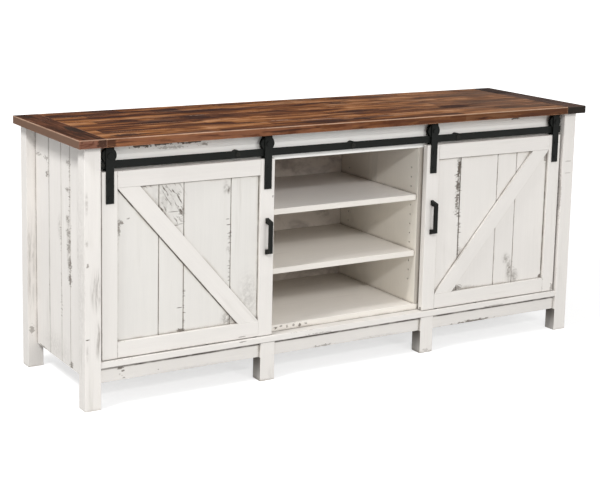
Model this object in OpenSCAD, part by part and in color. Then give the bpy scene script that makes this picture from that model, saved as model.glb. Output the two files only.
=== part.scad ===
// Farmhouse TV stand: plank top, painted carcass on short legs and two barn doors
// that roll on a flat steel track. Units are millimetres.
// Origin: middle of the footprint, on the floor. +X runs along the length, +Y to the
// back and +Z up. The left half is drawn at -X; the right half mirrors it.

/* [Overall] */
// Length of the top
top_w = 1676; // [1600:2:1800]
// Depth of the top
top_d = 477; // [450:1:540]
// Height from the floor to the top surface
stand_h = 715; // [680:1:800]

/* [Top] */
// Thickness of the top
top_t = 22; // [18:1:32]
// Width of the cross board at each end
end_board_w = 75; // [55:1:110]
// Number of lengthwise planks
plank_count = 5; // [3:1:8]
// Bevel along the long edges of the top's boards
top_bevel = 1.2; // [0.6:0.1:2]
// Radius of the top's corners, seen from above
top_corner_r = 5; // [2:1:12]
// Gap between two planks
plank_gap = 0.2; // [0.1:0.1:1]
// Length of the tongue that joins a plank to its end board
tongue_l = 10; // [6:1:16]
// Thickness of that tongue
tongue_t = 8; // [5:1:10]
// How far a tongue stays back from its plank's long edges
tongue_inset = 14; // [8:1:20]
// How far the top stands over the posts at each end
end_overhang = 22; // [10:1:40]
// How far the top stands over the posts in front
front_overhang = 20; // [10:1:32]
// How far the top stands over the posts at the back
back_overhang = 3; // [0:1:15]

/* [Legs and posts] */
// Width of a post or leg, along the stand
post_w = 45; // [42:1:60]
// Depth of a post or leg, front to back
post_d = 42; // [36:1:60]
// Small chamfer on the edges of posts and boards
edge_ease = 1; // [0.4:0.2:1.6]
// Free height under the aprons
leg_clear = 68; // [50:1:100]
// Distance of a middle leg's centre from the stand's middle
mid_leg_x = 273; // [230:1:300]
// How far the middle legs stand behind the corner posts' front
mid_leg_inset = 3; // [1:0.5:6]

/* [Side panels] */
// Thickness of a side panel
side_t = 12; // [10:1:14]
// How far a side panel lies behind the posts' outer faces
side_recess = 27; // [18:1:27]
// How far panels and rails enter their grooves
groove_deep = 8; // [5:1:10]
// Widths of the side boards from the back, before the last one at the front
side_boards = [98, 89, 62, 62];
// Width of a V groove between boards
vee_w = 4; // [2:0.5:6]
// Depth of a V groove between boards
vee_deep = 2.5; // [1:0.5:3]

/* [Carcass boards] */
// Thickness of the bottom board, dividers, header and rear rails
board_t = 18; // [16:1:22]
// Thickness of the loose shelves
shelf_t = 16; // [14:1:20]
// Height of the rear top rail
rear_rail_h = 62; // [45:1:90]
// Thickness of the flat sill below the doors
sill_t = 18; // [14:1:24]
// Depth of the sill, front to back
sill_d = 63; // [55:1:80]
// How far the sill's front lies behind the posts' front
sill_inset = 2; // [0.5:0.5:4]
// Height of the aprons under the sill
apron_h = 41; // [30:1:60]
// How far the aprons lie behind the posts' front
apron_inset = 12; // [6:1:16]
// Thickness of the back panels
back_t = 5; // [3:1:8]
// How far the back panels lie in front of the posts' rear faces
back_inset = 3; // [1:1:8]
// Gap between two back panels
back_gap = 1; // [0.5:0.5:3]
// Side of the square cleats under the top
cleat = 18; // [14:1:24]

/* [Shelves] */
// How far the shelves' front edges lie behind the carcass boards
shelf_setback = 6; // [4:1:40]
// Side clearance of a loose shelf
shelf_play = 1; // [0.5:0.5:2]
// Height of the lowest pin hole over the bottom board
first_hole = 69.7; // [50:0.1:90]
// Spacing of the pin holes
hole_pitch = 28.1; // [25:0.1:32]
// Pin holes in a column, in the middle bay
hole_rows = 13; // [10:1:14]
// Distance of the front column from the carcass boards' front
front_column = 34; // [24:1:60]
// Distance of the rear column from the back panels
rear_column = 48; // [37:1:60]
// Row that carries the lower middle shelf
lower_row = 3; // [2:1:5]
// Row that carries the upper middle shelf
upper_row = 9; // [7:1:9]
// Row that carries the side shelves
side_row = 6; // [4:1:8]
// Rows above and below it that are drilled in the side bays
spare_rows = 2; // [1:1:3]
// Diameter of a shelf pin
pin_d = 5; // [4:0.5:7]
// Depth of a pin hole
pin_hole_l = 8; // [6:1:8]
// Length of a shelf pin outside its hole
pin_out = 9; // [6:1:14]

/* [Cable ports] */
// Diameter of a cable port in the back
port_d = 50; // [30:1:70]
// Distance of the middle ports from the stand's middle
port_x = 140; // [60:1:190]

/* [Doors] */
// Width of a door
door_w = 508; // [470:1:530]
// Thickness of a door's frame
door_t = 20; // [16:1:24]
// How far a door's face lies behind the posts' front
door_inset = 9; // [6:0.5:10]
// Width of the stiles and rails
stile_w = 44; // [38:1:60]
// Gap between a closed door and its corner post
door_end_gap = 6; // [3:1:12]
// How far the divider shows beyond a closed door
reveal = 13; // [0:1:20]
// Least gap between a door and the carcass boards behind it
door_back_gap = 4; // [3:0.5:8]
// Gap between a door and the sill
door_floor_gap = 2; // [2:0.5:5]
// Gap between a door and the track above it
door_rail_gap = 7; // [3:0.5:10]
// Thickness of the grooved door panel
door_panel_t = 7; // [5:1:7]
// How far that panel lies behind the door's face
door_panel_recess = 8; // [6:0.5:8]
// Width of the diagonal brace
brace_w = 47.5; // [35:0.5:60]
// How far the brace lies behind the door's face
brace_set = 0.4; // [0.2:0.2:2]
// Widths of the door panel's boards from the inner stile, before the last one
door_boards = [86, 141, 73];
// How far the rails' tenons stay back from the door's top and bottom
tenon_shoulder = 15; // [8:1:20]

/* [Track] */
// Height of the track bar
rail_h = 20.5; // [18:0.5:28]
// Thickness of the track bar
rail_t = 5; // [4:0.5:6]
// Height of the track bar's lower edge over the header's lower edge
rail_up = 16; // [10:1:18]
// Distance between the main standoffs
standoff_pitch = 370; // [320:1:380]
// Diameter of a main standoff
standoff_d = 23; // [20:1:28]
// Diameter of an end standoff
end_standoff_d = 10; // [9:0.5:10]
// Length of track beyond the centre of an end standoff
rail_tail = 6; // [6:0.5:8]
// Diameter of the track bolts
track_bolt_d = 6; // [4:0.5:6]
// Diameter of a track bolt's head
track_head_d = 13; // [10:1:16]
// Thickness of a track bolt's head
track_head_t = 2.4; // [1.6:0.2:3]
// How far a track bolt enters the header
track_bolt_grip = 14; // [10:1:15]
// Free space left when a door's hanger reaches the middle standoff
stop_play = 3.5; // [1:0.5:8]

/* [Hangers and wheels] */
// Width of a hanger strap
strap_w = 22; // [18:1:26]
// Thickness of a hanger strap
strap_t = 3; // [2:0.5:3]
// Length of strap on the door's face
strap_drop = 83; // [60:1:120]
// Radius of the bend over the wheel
bend_r = 6; // [4:0.5:8]
// Radius of a wheel
wheel_r = 20; // [18:0.5:22]
// Radius of the groove that runs on the track
groove_r = 14; // [12:0.5:15]
// Thickness of a wheel
wheel_t = 14; // [10:0.5:15]
// Diameter of an axle bolt
axle_d = 6; // [5:0.5:8]
// Diameter of an axle bolt's head
axle_head_d = 14; // [10:1:16]
// Thickness of an axle bolt's head
axle_head_t = 3; // [2:0.5:4]
// Thickness of the nut behind the hanger
axle_nut_t = 3.5; // [3:0.5:4]
// Running clearance of the axle in its wheel
axle_play = 0.05; // [0.02:0.01:0.1]
// Space between wheel and strap, on each side
wheel_side_play = 0.5; // [0.3:0.1:0.8]
// Space between the groove and the track
roll_play = 0.3; // [0.2:0.05:0.4]
// Space between the wheel's rim and the bend
rim_play = 1.2; // [0.8:0.2:3]
// Free space over a hanger, under the top
hanger_gap = 2; // [1:0.5:6]
// Free space between an axle bolt's nut and the header
nut_gap = 2.5; // [1:0.5:6]

/* [Pulls] */
// Length of a door pull
pull_l = 102; // [80:1:160]
// Width of the square bar
pull_w = 9.5; // [8:0.5:12]
// How far a pull stands out from the door
pull_out = 26; // [22:1:28]
// Height of a pull's centre above the floor
pull_z = 410; // [340:1:480]
// Chamfer at the pull's outer corners
pull_cut = 1.5; // [0.5:0.5:3]
// Height of a pull's foot on the door
pull_foot = 14; // [12:1:18]
// How far a pull's arms lean towards its middle
pull_lean = 7; // [3:1:9]

/* [Screws and guides] */
// Diameter of the strap and pull screws
screw_d = 4; // [3:0.5:5]
// Diameter of the strap screws' heads
screw_head_d = 9; // [7:0.5:12]
// Thickness of the screws' heads
screw_head_t = 2; // [1.5:0.5:3]
// Distance of the lower strap screw from the strap's end
screw_end = 16; // [10:1:25]
// Distance between the two strap screws
screw_pitch = 44; // [30:1:50]
// Wood left behind the strap screws
screw_stop = 4; // [3:1:8]
// How far a pull's screws enter its feet
pull_screw_grip = 12; // [6:1:14]
// Diameter of a floor guide's pin
guide_d = 6; // [4:0.5:8]
// Height of a floor guide's pin over the sill
guide_h = 9; // [7:0.5:10]
// Free space beside the guide pin in its groove
guide_play = 0.6; // [0.4:0.1:1]
// Thickness of a floor guide's plate
guide_plate_t = 2; // [1:0.5:2]
// Length of a floor guide's screw in the sill
guide_screw_l = 12; // [8:1:15]
// Distance between the two guides of a door
guide_pitch = 150; // [100:1:170]

/* [Hidden] */
$fn = 48;
paint = "antiquewhite";
stain = "sienna";
steel = [0.14, 0.15, 0.15];
hardboard = "burlywood";

// clearance of bolts and screws in their holes
hole_play = 0.1;
// clearance of a shelf pin in its hole
pin_play = 0.05;
// clearance between boards that slip into a groove
slip = 0.2;
// how far a cutting shape runs past the face it cuts
cut = 1;
// free space between a closed door's outer hanger and the end standoff beside it
end_play = 1.5;

// heights
top_z0 = stand_h - top_t;
sill_z0 = leg_clear + apron_h;
floor_z0 = sill_z0 + sill_t;
bay_z0 = floor_z0 + board_t;
hanger_z1 = top_z0 - hanger_gap;
wheel_z = hanger_z1 - strap_t - rim_play - wheel_r;
rail_z1 = wheel_z - groove_r - roll_play;
rail_z0 = rail_z1 - rail_h;
rail_mid_z = rail_z0 + rail_h / 2;
header_z0 = rail_z0 - rail_up;
door_z0 = floor_z0 + door_floor_gap;
door_z1 = rail_z0 - door_rail_gap;

// distances along the stand, as positive numbers from the middle
post_x1 = top_w / 2 - end_overhang;
post_x0 = post_x1 - post_w;
side_x1 = post_x1 - side_recess;
side_x0 = side_x1 - side_t;
door_x1 = post_x0 - door_end_gap;
door_x0 = door_x1 - door_w;
bay_x = door_x0 - reveal;
divider_x1 = bay_x + board_t;
panel_split_x = bay_x + board_t / 2;
outer_stile_mid = door_x1 - stile_w / 2;
inner_stile_mid = door_x0 + stile_w / 2;
// the end standoffs stand just outside the closed doors' outer hangers
end_standoff_x = outer_stile_mid + strap_w / 2 + end_standoff_d / 2 + end_play;
rail_x1 = end_standoff_x + rail_tail;

// distances front to back
front_y = -top_d / 2 + front_overhang;
rear_y = top_d / 2 - back_overhang;
post_y0 = front_y + post_d;
post_y1 = rear_y - post_d;
sill_y0 = front_y + sill_inset;
back_y1 = rear_y - back_inset;
back_y0 = back_y1 - back_t;
door_y0 = front_y + door_inset;
door_y1 = door_y0 + door_t;
door_panel_y0 = door_y0 + door_panel_recess;
strap_y0 = door_y0 - strap_t;
fork_gap = wheel_t + 2 * wheel_side_play;
wheel_y = door_y0 + fork_gap / 2;
fork_y1 = door_y0 + fork_gap + strap_t;
// the carcass boards stand clear of the doors and of the nuts behind the hangers
carcass_y0 = max(door_y1 + door_back_gap, fork_y1 + axle_nut_t + nut_gap);
shelf_y0 = carcass_y0 + shelf_setback;
shelf_y1 = back_y0 - shelf_play;
rail_y0 = wheel_y - rail_t / 2;
rail_y1 = wheel_y + rail_t / 2;
columns = [carcass_y0 + front_column, back_y0 - rear_column];
// a door slides towards the middle until its inner hanger is beside the middle standoff
door_travel = inner_stile_mid - strap_w / 2 - standoff_d / 2 - stop_play;
// the guides stand where a door covers them all the way
guide_x = door_x0 + (door_w - door_travel) / 2;
guide_y = (door_y0 + door_y1) / 2;

// screw heights on a door
strap_screw_zs = [for (n = [0, 1]) door_z1 - strap_drop + screw_end + n * screw_pitch];
// a pull's screws run up the middle of its leaning arms
pull_screw_in = (pull_foot + pull_lean * pull_screw_grip / pull_out) / 2;
pull_screw_zs = [for (s = [-1, 1]) pull_z + s * (pull_l / 2 - pull_screw_in)];

// a shelf's slotted ends slip over the pins, so its middle lies at the pins' height
function row_z(row) = bay_z0 + first_hole + row * hole_pitch;
function shelf_z(row) = row_z(row) - shelf_t / 2;

// running sum of the first n entries of a list
function sum_to(list, n) = n <= 0 ? 0 : list[n - 1] + sum_to(list, n - 1);

// corner points of a w by d rectangle whose corners are chamfered by c
function eased(w, d, c) = [
    [c, 0], [w - c, 0], [w, c], [w, d - c], [w - c, d], [c, d], [0, d - c], [0, c]
];

// front outline of a grooved board from u = 0 to u = w with V grooves centred at each g
function vee_points(grooves) = [
    for (g = grooves)
        each [[g - vee_w / 2, 0], [g, vee_deep], [g + vee_w / 2, 0]]
];

// ---------------------------------------------------------------- helpers

// box between two corners
module box(low, high) {
    translate(low) cube(high - low);
}

// vertical timber with eased edges
module timber(low, high) {
    size = high - low;
    translate(low)
        linear_extrude(size.z)
            polygon(eased(size.x, size.y, edge_ease));
}

// board that runs along X, with eased long edges
module long_board(low, high, ease = edge_ease) {
    size = high - low;
    translate(low)
        rotate([90, 0, 90])
            linear_extrude(size.x)
                polygon(eased(size.y, size.z, ease));
}

// cylinder along Y from y0 to y1
module rod_y(x, y0, y1, z, r) {
    translate([x, y1, z]) rotate([90, 0, 0]) cylinder(h = y1 - y0, r = r);
}

// the shape and its mirror image on the right
module both() {
    children();
    mirror([1, 0, 0]) children();
}

module on_right() {
    mirror([1, 0, 0]) children();
}

// ---------------------------------------------------------------- top

// one lengthwise plank with a tongue at each end
module plank(index) {
    w = (top_d - (plank_count - 1) * plank_gap) / plank_count;
    half = top_w / 2 - end_board_w;
    y0 = -top_d / 2 + index * (w + plank_gap);
    tongue_z0 = top_z0 + (top_t - tongue_t) / 2;
    long_board([-half, y0, top_z0], [half, y0 + w, stand_h], top_bevel);
    box([-half - tongue_l, y0 + tongue_inset, tongue_z0],
        [half + tongue_l, y0 + w - tongue_inset, tongue_z0 + tongue_t]);
}

module top_planks() {
    color(stain) for (i = [0 : plank_count - 1]) plank(i);
}

// outline of the top seen from above, with round corners
module top_outline() {
    r = top_corner_r;
    square([top_w - 2 * r, top_d], center = true);
    square([top_w, top_d - 2 * r], center = true);
    for (x = [-1, 1], y = [-1, 1])
        translate([x * (top_w / 2 - r), y * (top_d / 2 - r)]) circle(r);
}

// left end board, bevelled along its long edges and grooved for the tongues
module end_board() {
    x0 = -top_w / 2;
    x1 = x0 + end_board_w;
    groove_y = top_d / 2 - tongue_inset + slip;
    groove_z0 = top_z0 + (top_t - tongue_t) / 2 - slip / 2;
    difference() {
        intersection() {
            translate([x0, top_d / 2, top_z0])
                rotate([90, 0, 0])
                    linear_extrude(top_d)
                        polygon(eased(end_board_w, top_t, top_bevel));
            translate([0, 0, top_z0]) linear_extrude(top_t) top_outline();
        }
        box([x1 - tongue_l - slip, -groove_y, groove_z0],
            [x1 + cut, groove_y, groove_z0 + tongue_t + slip]);
    }
}

module top_end_left() {
    color(stain) end_board();
}

module top_end_right() {
    color(stain) on_right() end_board();
}

// blocks under the top, beside the side panels and the dividers
module top_cleats() {
    y0 = carcass_y0 + board_t;
    y1 = post_y1;
    color(paint) both() for (x0 = [-side_x0, -divider_x1 - cleat])
        box([x0, y0, top_z0 - cleat], [x0 + cleat, y1, top_z0]);
}

// ---------------------------------------------------------------- legs and posts

// groove that takes a side panel's edge, seen from above
module side_groove() {
    box([-side_x1 - slip / 2, post_y0 - groove_deep - slip, leg_clear - slip],
        [-side_x0 + slip / 2, post_y1 + groove_deep + slip, top_z0 + cut]);
}

module front_post() {
    difference() {
        timber([-post_x1, front_y, 0], [-post_x0, post_y0, top_z0]);
        side_groove();
    }
}

module back_post() {
    difference() {
        timber([-post_x1, post_y1, 0], [-post_x0, rear_y, top_z0]);
        side_groove();
    }
}

module post_front_left() {
    color(paint) front_post();
}

module post_front_right() {
    color(paint) on_right() front_post();
}

module post_back_left() {
    color(paint) back_post();
}

module post_back_right() {
    color(paint) on_right() back_post();
}

// short leg under the sill
module middle_leg() {
    y0 = front_y + mid_leg_inset;
    timber([-mid_leg_x - post_w / 2, y0, 0], [-mid_leg_x + post_w / 2, y0 + post_d, sill_z0]);
}

module middle_leg_left() {
    color(paint) middle_leg();
}

module middle_leg_right() {
    color(paint) on_right() middle_leg();
}

// short legs in front of the rear bottom rail
module rear_middle_legs() {
    y1 = back_y0 - board_t;
    color(paint) both()
        timber([-mid_leg_x - post_w / 2, y1 - post_d, 0], [-mid_leg_x + post_w / 2, y1, floor_z0]);
}

// ---------------------------------------------------------------- side panels

// pin holes through a face at x, drilled in the direction of dir, in the given rows
module pin_holes(x, dir, rows) {
    for (y = columns, row = rows)
        translate([x - dir * cut, y, row_z(row)])
            rotate([0, dir * 90, 0])
                cylinder(h = pin_hole_l + cut, d = pin_d + 2 * pin_play, $fn = 24);
}

side_rows = [side_row - spare_rows : side_row + spare_rows];
middle_rows = [0 : hole_rows - 1];

// grooved boards glued up as one panel; the V grooves face outwards
module side_panel() {
    y0 = post_y0 - groove_deep;
    y1 = post_y1 + groove_deep;
    w = y1 - y0;
    grooves = [
        for (n = [1 : len(side_boards)])
            let (g = groove_deep + sum_to(side_boards, n))
            if (g < w - groove_deep - vee_w) g
    ];
    outline = concat([[0, side_t], [0, 0]], vee_points(grooves), [[w, 0], [w, side_t]]);
    difference() {
        translate([-side_x1, y1, leg_clear])
            rotate([0, 0, -90])
                linear_extrude(top_z0 - leg_clear)
                    polygon(outline);
        pin_holes(-side_x0, -1, side_rows);
    }
}

module side_panel_left() {
    color(paint) side_panel();
}

module side_panel_right() {
    color(paint) on_right() side_panel();
}

// ---------------------------------------------------------------- carcass

// hole centres of the main and end standoffs
standoff_xs = [-standoff_pitch, 0, standoff_pitch];
end_standoff_xs = [-end_standoff_x, end_standoff_x];

module track_holes(y0, y1) {
    for (x = concat(standoff_xs, end_standoff_xs))
        rod_y(x, y0, y1, rail_mid_z, track_bolt_d / 2 + hole_play);
}

module header() {
    color(paint) difference() {
        long_board([-post_x0, carcass_y0, header_z0], [post_x0, carcass_y0 + board_t, top_z0]);
        track_holes(carcass_y0 - cut, carcass_y0 + track_bolt_grip + cut);
    }
}

module front_sill() {
    color(paint) difference() {
        long_board([-post_x0, sill_y0, sill_z0], [post_x0, sill_y0 + sill_d, floor_z0]);
        both() guide_places() translate([0, 0, -guide_screw_l])
            cylinder(h = guide_screw_l + cut, d = screw_d + 2 * hole_play);
    }
}

// apron between two distances from the middle
module apron(x0, x1) {
    y0 = front_y + apron_inset;
    long_board([x0, y0, leg_clear], [x1, y0 + board_t, sill_z0]);
}

// one apron on each side of every middle leg
module aprons() {
    color(paint) {
        apron(-post_x0, -mid_leg_x - post_w / 2);
        apron(-mid_leg_x + post_w / 2, mid_leg_x - post_w / 2);
        apron(mid_leg_x + post_w / 2, post_x0);
    }
}

module rear_top_rail() {
    color(paint)
        long_board([-post_x0, back_y0 - board_t, top_z0 - rear_rail_h], [post_x0, back_y0, top_z0]);
}

module rear_bottom_rail() {
    color(paint)
        long_board([-post_x0, back_y0 - board_t, leg_clear], [post_x0, back_y0, floor_z0]);
}

// bottom board between the side panels, notched round the four posts
module bottom_board() {
    color(paint) difference() {
        long_board([-side_x0, carcass_y0, floor_z0], [side_x0, back_y0, bay_z0]);
        both() {
            box([-side_x0 - cut, carcass_y0 - cut, floor_z0 - cut],
                [-post_x0, post_y0, bay_z0 + cut]);
            box([-side_x0 - cut, post_y1, floor_z0 - cut],
                [-post_x0, back_y0 + cut, bay_z0 + cut]);
        }
    }
}

// upright between two bays, notched for the header and the rear top rail
module divider() {
    difference() {
        timber([-divider_x1, carcass_y0, bay_z0], [-bay_x, back_y0, top_z0]);
        box([-divider_x1 - cut, carcass_y0 - cut, header_z0],
            [-bay_x + cut, carcass_y0 + board_t, top_z0 + cut]);
        box([-divider_x1 - cut, back_y0 - board_t, top_z0 - rear_rail_h],
            [-bay_x + cut, back_y0 + cut, top_z0 + cut]);
        pin_holes(-bay_x, -1, middle_rows);
        pin_holes(-divider_x1, 1, side_rows);
    }
}

module divider_left() {
    color(paint) divider();
}

module divider_right() {
    color(paint) on_right() divider();
}

// back panel with cable ports at the given places
module back_panel(x0, x1, ports) {
    z0 = sill_z0;
    z1 = top_z0 - edge_ease;
    difference() {
        box([x0, back_y0, z0], [x1, back_y1, z1]);
        for (p = ports) rod_y(p.x, back_y0 - cut, back_y1 + cut, p.y, port_d / 2);
    }
}

// heights of the three middle compartments' ports and of the side bays' port
low_port_z = (bay_z0 + shelf_z(lower_row)) / 2;
mid_port_z = (shelf_z(lower_row) + shelf_t + shelf_z(upper_row)) / 2;
high_port_z = (shelf_z(upper_row) + shelf_t + header_z0) / 2;
side_port_x = (divider_x1 + side_x0) / 2;
side_port_z = (bay_z0 + shelf_z(side_row)) / 2;

module back_panel_left() {
    color(hardboard)
        back_panel(-post_x0, -panel_split_x - back_gap / 2, [[-side_port_x, side_port_z]]);
}

module back_panel_middle() {
    half = panel_split_x - back_gap / 2;
    color(hardboard)
        back_panel(-half, half,
            [for (z = [low_port_z, mid_port_z, high_port_z]) [-port_x, z]]);
}

module back_panel_right() {
    color(hardboard)
        back_panel(panel_split_x + back_gap / 2, post_x0, [[side_port_x, side_port_z]]);
}

// ---------------------------------------------------------------- shelves

// shelf with a slot in each end, open at the back, that slips over the pins
module shelf(x0, x1, row, y0 = shelf_y0) {
    z = shelf_z(row);
    slot_l = pin_out + slip;
    slot_z1 = row_z(row) + pin_d / 2;
    difference() {
        long_board([x0 + shelf_play, y0, z], [x1 - shelf_play, shelf_y1, z + shelf_t]);
        for (x = [x0 - cut, x1 - slot_l])
            box([x, columns[0] - pin_d / 2 - slip, slot_z1 - pin_d - slip],
                [x + slot_l + cut, shelf_y1 + cut, slot_z1]);
    }
}

module shelf_middle_upper() {
    color(paint) shelf(-bay_x, bay_x, upper_row);
}

module shelf_middle_lower() {
    color(paint) shelf(-bay_x, bay_x, lower_row);
}

// side shelf, kept behind the front post and notched round the back post
module side_shelf() {
    difference() {
        shelf(-side_x0, -divider_x1, side_row, max(shelf_y0, post_y0 + shelf_play));
        box([-side_x0 - cut, post_y1 - shelf_play, shelf_z(side_row) - cut],
            [-post_x0 + shelf_play, shelf_y1 + cut, shelf_z(side_row) + shelf_t + cut]);
    }
}

module shelf_side_left() {
    color(paint) side_shelf();
}

module shelf_side_right() {
    color(paint) on_right() side_shelf();
}

// one pin in a face at x, standing out against the direction of its hole
module shelf_pin(x, dir, y, row) {
    translate([x - dir * pin_out, y, row_z(row)])
        rotate([0, dir * 90, 0])
            cylinder(h = pin_out + pin_hole_l - slip, d = pin_d, $fn = 24);
}

module shelf_pins() {
    color(steel) both() for (y = columns) {
        shelf_pin(-bay_x, -1, y, lower_row);
        shelf_pin(-bay_x, -1, y, upper_row);
        shelf_pin(-divider_x1, 1, y, side_row);
        shelf_pin(-side_x0, -1, y, side_row);
    }
}

// ---------------------------------------------------------------- track

module track_bar() {
    color(steel) difference() {
        long_board([-rail_x1, rail_y0, rail_z0], [rail_x1, rail_y1, rail_z1], rail_t / 10);
        track_holes(rail_y0 - cut, rail_y1 + cut);
    }
}

// round spacer between the bar and the header
module standoff(x, d) {
    difference() {
        rod_y(x, rail_y1, carcass_y0, rail_mid_z, d / 2);
        rod_y(x, rail_y1 - cut, carcass_y0 + cut, rail_mid_z, track_bolt_d / 2 + hole_play);
    }
}

module track_standoffs() {
    color(steel) {
        for (x = standoff_xs) standoff(x, standoff_d);
        for (x = end_standoff_xs) standoff(x, end_standoff_d);
    }
}

// low round head with a hexagon socket, and a plain shank
module track_bolt(x, head_d) {
    difference() {
        rod_y(x, rail_y0 - track_head_t, rail_y0, rail_mid_z, head_d / 2);
        translate([x, rail_y0 - track_head_t / 3, rail_mid_z])
            rotate([90, 0, 0]) cylinder(h = track_head_t, d = head_d / 2, $fn = 6);
    }
    rod_y(x, rail_y0 - track_head_t / 3, carcass_y0 + track_bolt_grip, rail_mid_z, track_bolt_d / 2);
}

module track_bolts() {
    color(steel) {
        for (x = standoff_xs) track_bolt(x, track_head_d);
        for (x = end_standoff_xs) track_bolt(x, end_standoff_d);
    }
}

// ---------------------------------------------------------------- floor guides

// two places on the sill for each door's guides
module guide_places() {
    for (dx = [-guide_pitch / 2, guide_pitch / 2])
        translate([-guide_x + dx, guide_y, floor_z0]) children();
}

// round plate with a pin that runs in the door's groove and a screw into the sill
module door_guides() {
    plate_d = door_t - 2;
    color(steel) both() guide_places() {
        cylinder(h = guide_plate_t, d = plate_d);
        cylinder(h = guide_h, d = guide_d);
        translate([0, 0, slip - guide_screw_l]) cylinder(h = guide_screw_l, d = screw_d);
    }
}

// groove along a door's bottom edge
module guide_groove() {
    half = guide_d / 2 + guide_play;
    box([-door_x1 - cut, guide_y - half, door_z0 - cut],
        [-door_x0 + cut, guide_y + half, floor_z0 + guide_h + cut]);
}

// ---------------------------------------------------------------- doors, drawn on the left

// slot for the panel's edges and the rails' stub tenons
module panel_slot() {
    box([-door_x1 + stile_w - groove_deep, door_panel_y0, door_z0 + stile_w - groove_deep],
        [-door_x0 - stile_w + groove_deep, door_panel_y0 + door_panel_t,
            door_z1 - stile_w + groove_deep]);
}

// holes for the two strap screws at a stile whose centre is x
module strap_screw_holes(x, r) {
    for (z = strap_screw_zs) rod_y(x, strap_y0 - cut, door_y1 - screw_stop, z, r);
}

// stile with its outer edge at x0, slotted all along its inner edge
module stile(x0, slot_x0) {
    difference() {
        timber([x0, door_y0, door_z0], [x0 + stile_w, door_y1, door_z1]);
        box([slot_x0, door_panel_y0, door_z0 + tenon_shoulder], [slot_x0 + groove_deep,
            door_panel_y0 + door_panel_t, door_z1 - tenon_shoulder]);
        strap_screw_holes(x0 + stile_w / 2, screw_d / 2 + hole_play);
        guide_groove();
    }
}

module outer_stile() {
    stile(-door_x1, -door_x1 + stile_w - groove_deep);
}

module inner_stile() {
    difference() {
        stile(-door_x0 - stile_w, -door_x0 - stile_w);
        for (z = pull_screw_zs)
            rod_y(-inner_stile_mid, door_y0 - cut, door_y1 + cut, z, screw_d / 2 + hole_play);
    }
}

// rail between the stiles, with stub tenons, from z0 to z1
module door_rail(z0, z1) {
    low_tenon = max(z0, door_z0 + tenon_shoulder);
    high_tenon = min(z1, door_z1 - tenon_shoulder);
    difference() {
        union() {
            long_board([-door_x1 + stile_w, door_y0, z0], [-door_x0 - stile_w, door_y1, z1]);
            box([-door_x1 + stile_w - groove_deep, door_panel_y0, low_tenon],
                [-door_x0 - stile_w + groove_deep, door_panel_y0 + door_panel_t, high_tenon]);
        }
        panel_slot();
        guide_groove();
    }
}

module door_top_rail() {
    door_rail(door_z1 - stile_w, door_z1);
}

module door_bottom_rail() {
    door_rail(door_z0, door_z0 + stile_w);
}

// plank panel with V grooves in front, held on all four sides
module door_panel() {
    x0 = -door_x1 + stile_w - groove_deep + slip;
    x1 = -door_x0 - stile_w + groove_deep - slip;
    z0 = door_z0 + stile_w - groove_deep + slip;
    z1 = door_z1 - stile_w + groove_deep - slip;
    w = x1 - x0;
    grooves = [
        for (n = [1 : len(door_boards)])
            let (g = groove_deep - slip + sum_to(door_boards, n))
            if (g < w - groove_deep - vee_w) g
    ];
    outline = concat([[0, door_panel_t], [0, 0]], vee_points(grooves), [[w, 0], [w, door_panel_t]]);
    translate([x1, door_panel_y0, z0])
        mirror([1, 0, 0])
            linear_extrude(z1 - z0)
                polygon(outline);
}

// diagonal from the upper outer corner to the lower inner corner of the frame's opening
module brace() {
    x0 = -door_x1 + stile_w;
    x1 = -door_x0 - stile_w;
    z0 = door_z0 + stile_w;
    z1 = door_z1 - stile_w;
    run = brace_run(x1 - x0, z1 - z0, brace_w);
    translate([0, door_panel_y0, 0])
        rotate([90, 0, 0])
            linear_extrude(door_panel_recess - brace_set)
                polygon([[x0, z1], [x0 + run, z1], [x1, z0], [x1 - run, z0]]);
}

// length that a brace of width b covers along the rails of a w by h opening, which
// solves run * h = b * sqrt(h^2 + (w - run)^2)
function brace_run(w, h, b) =
    let (d = h * h - b * b)
    (b * sqrt(b * b * w * w + d * (h * h + w * w)) - b * b * w) / d;

// ---------------------------------------------------------------- pulls

// square bar on two arms that lean in from the feet, with its outer corners cut off
module pull() {
    z0 = pull_z - pull_l / 2;
    near = pull_out - pull_w;
    arm = [
        [0, pull_foot], [0, 0],
        [pull_out - pull_cut, pull_lean * (1 - pull_cut / pull_out)],
        [pull_out, pull_lean + pull_cut]
    ];
    other_arm = [for (n = [len(arm) - 1 : -1 : 0]) [arm[n].x, pull_l - arm[n].y]];
    outline = concat([[near, pull_lean + pull_w]], arm, other_arm,
        [[near, pull_l - pull_lean - pull_w]]);
    difference() {
        translate([-inner_stile_mid + pull_w / 2, door_y0, z0])
            rotate([90, 0, -90])
                linear_extrude(pull_w)
                    polygon(outline);
        for (z = pull_screw_zs)
            rod_y(-inner_stile_mid, door_y0 - pull_screw_grip, door_y0 + cut, z,
                screw_d / 2 + hole_play);
    }
}

// ---------------------------------------------------------------- hangers

// upright with a round-shouldered top, w wide and h high, centred on the first axis
module arch(w, h, r) {
    translate([-w / 2, 0]) square([w, h - r]);
    translate([-w / 2 + r, 0]) square([w - 2 * r, h]);
    for (s = [-1, 1]) translate([s * (w / 2 - r), h - r]) circle(r);
}

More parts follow.
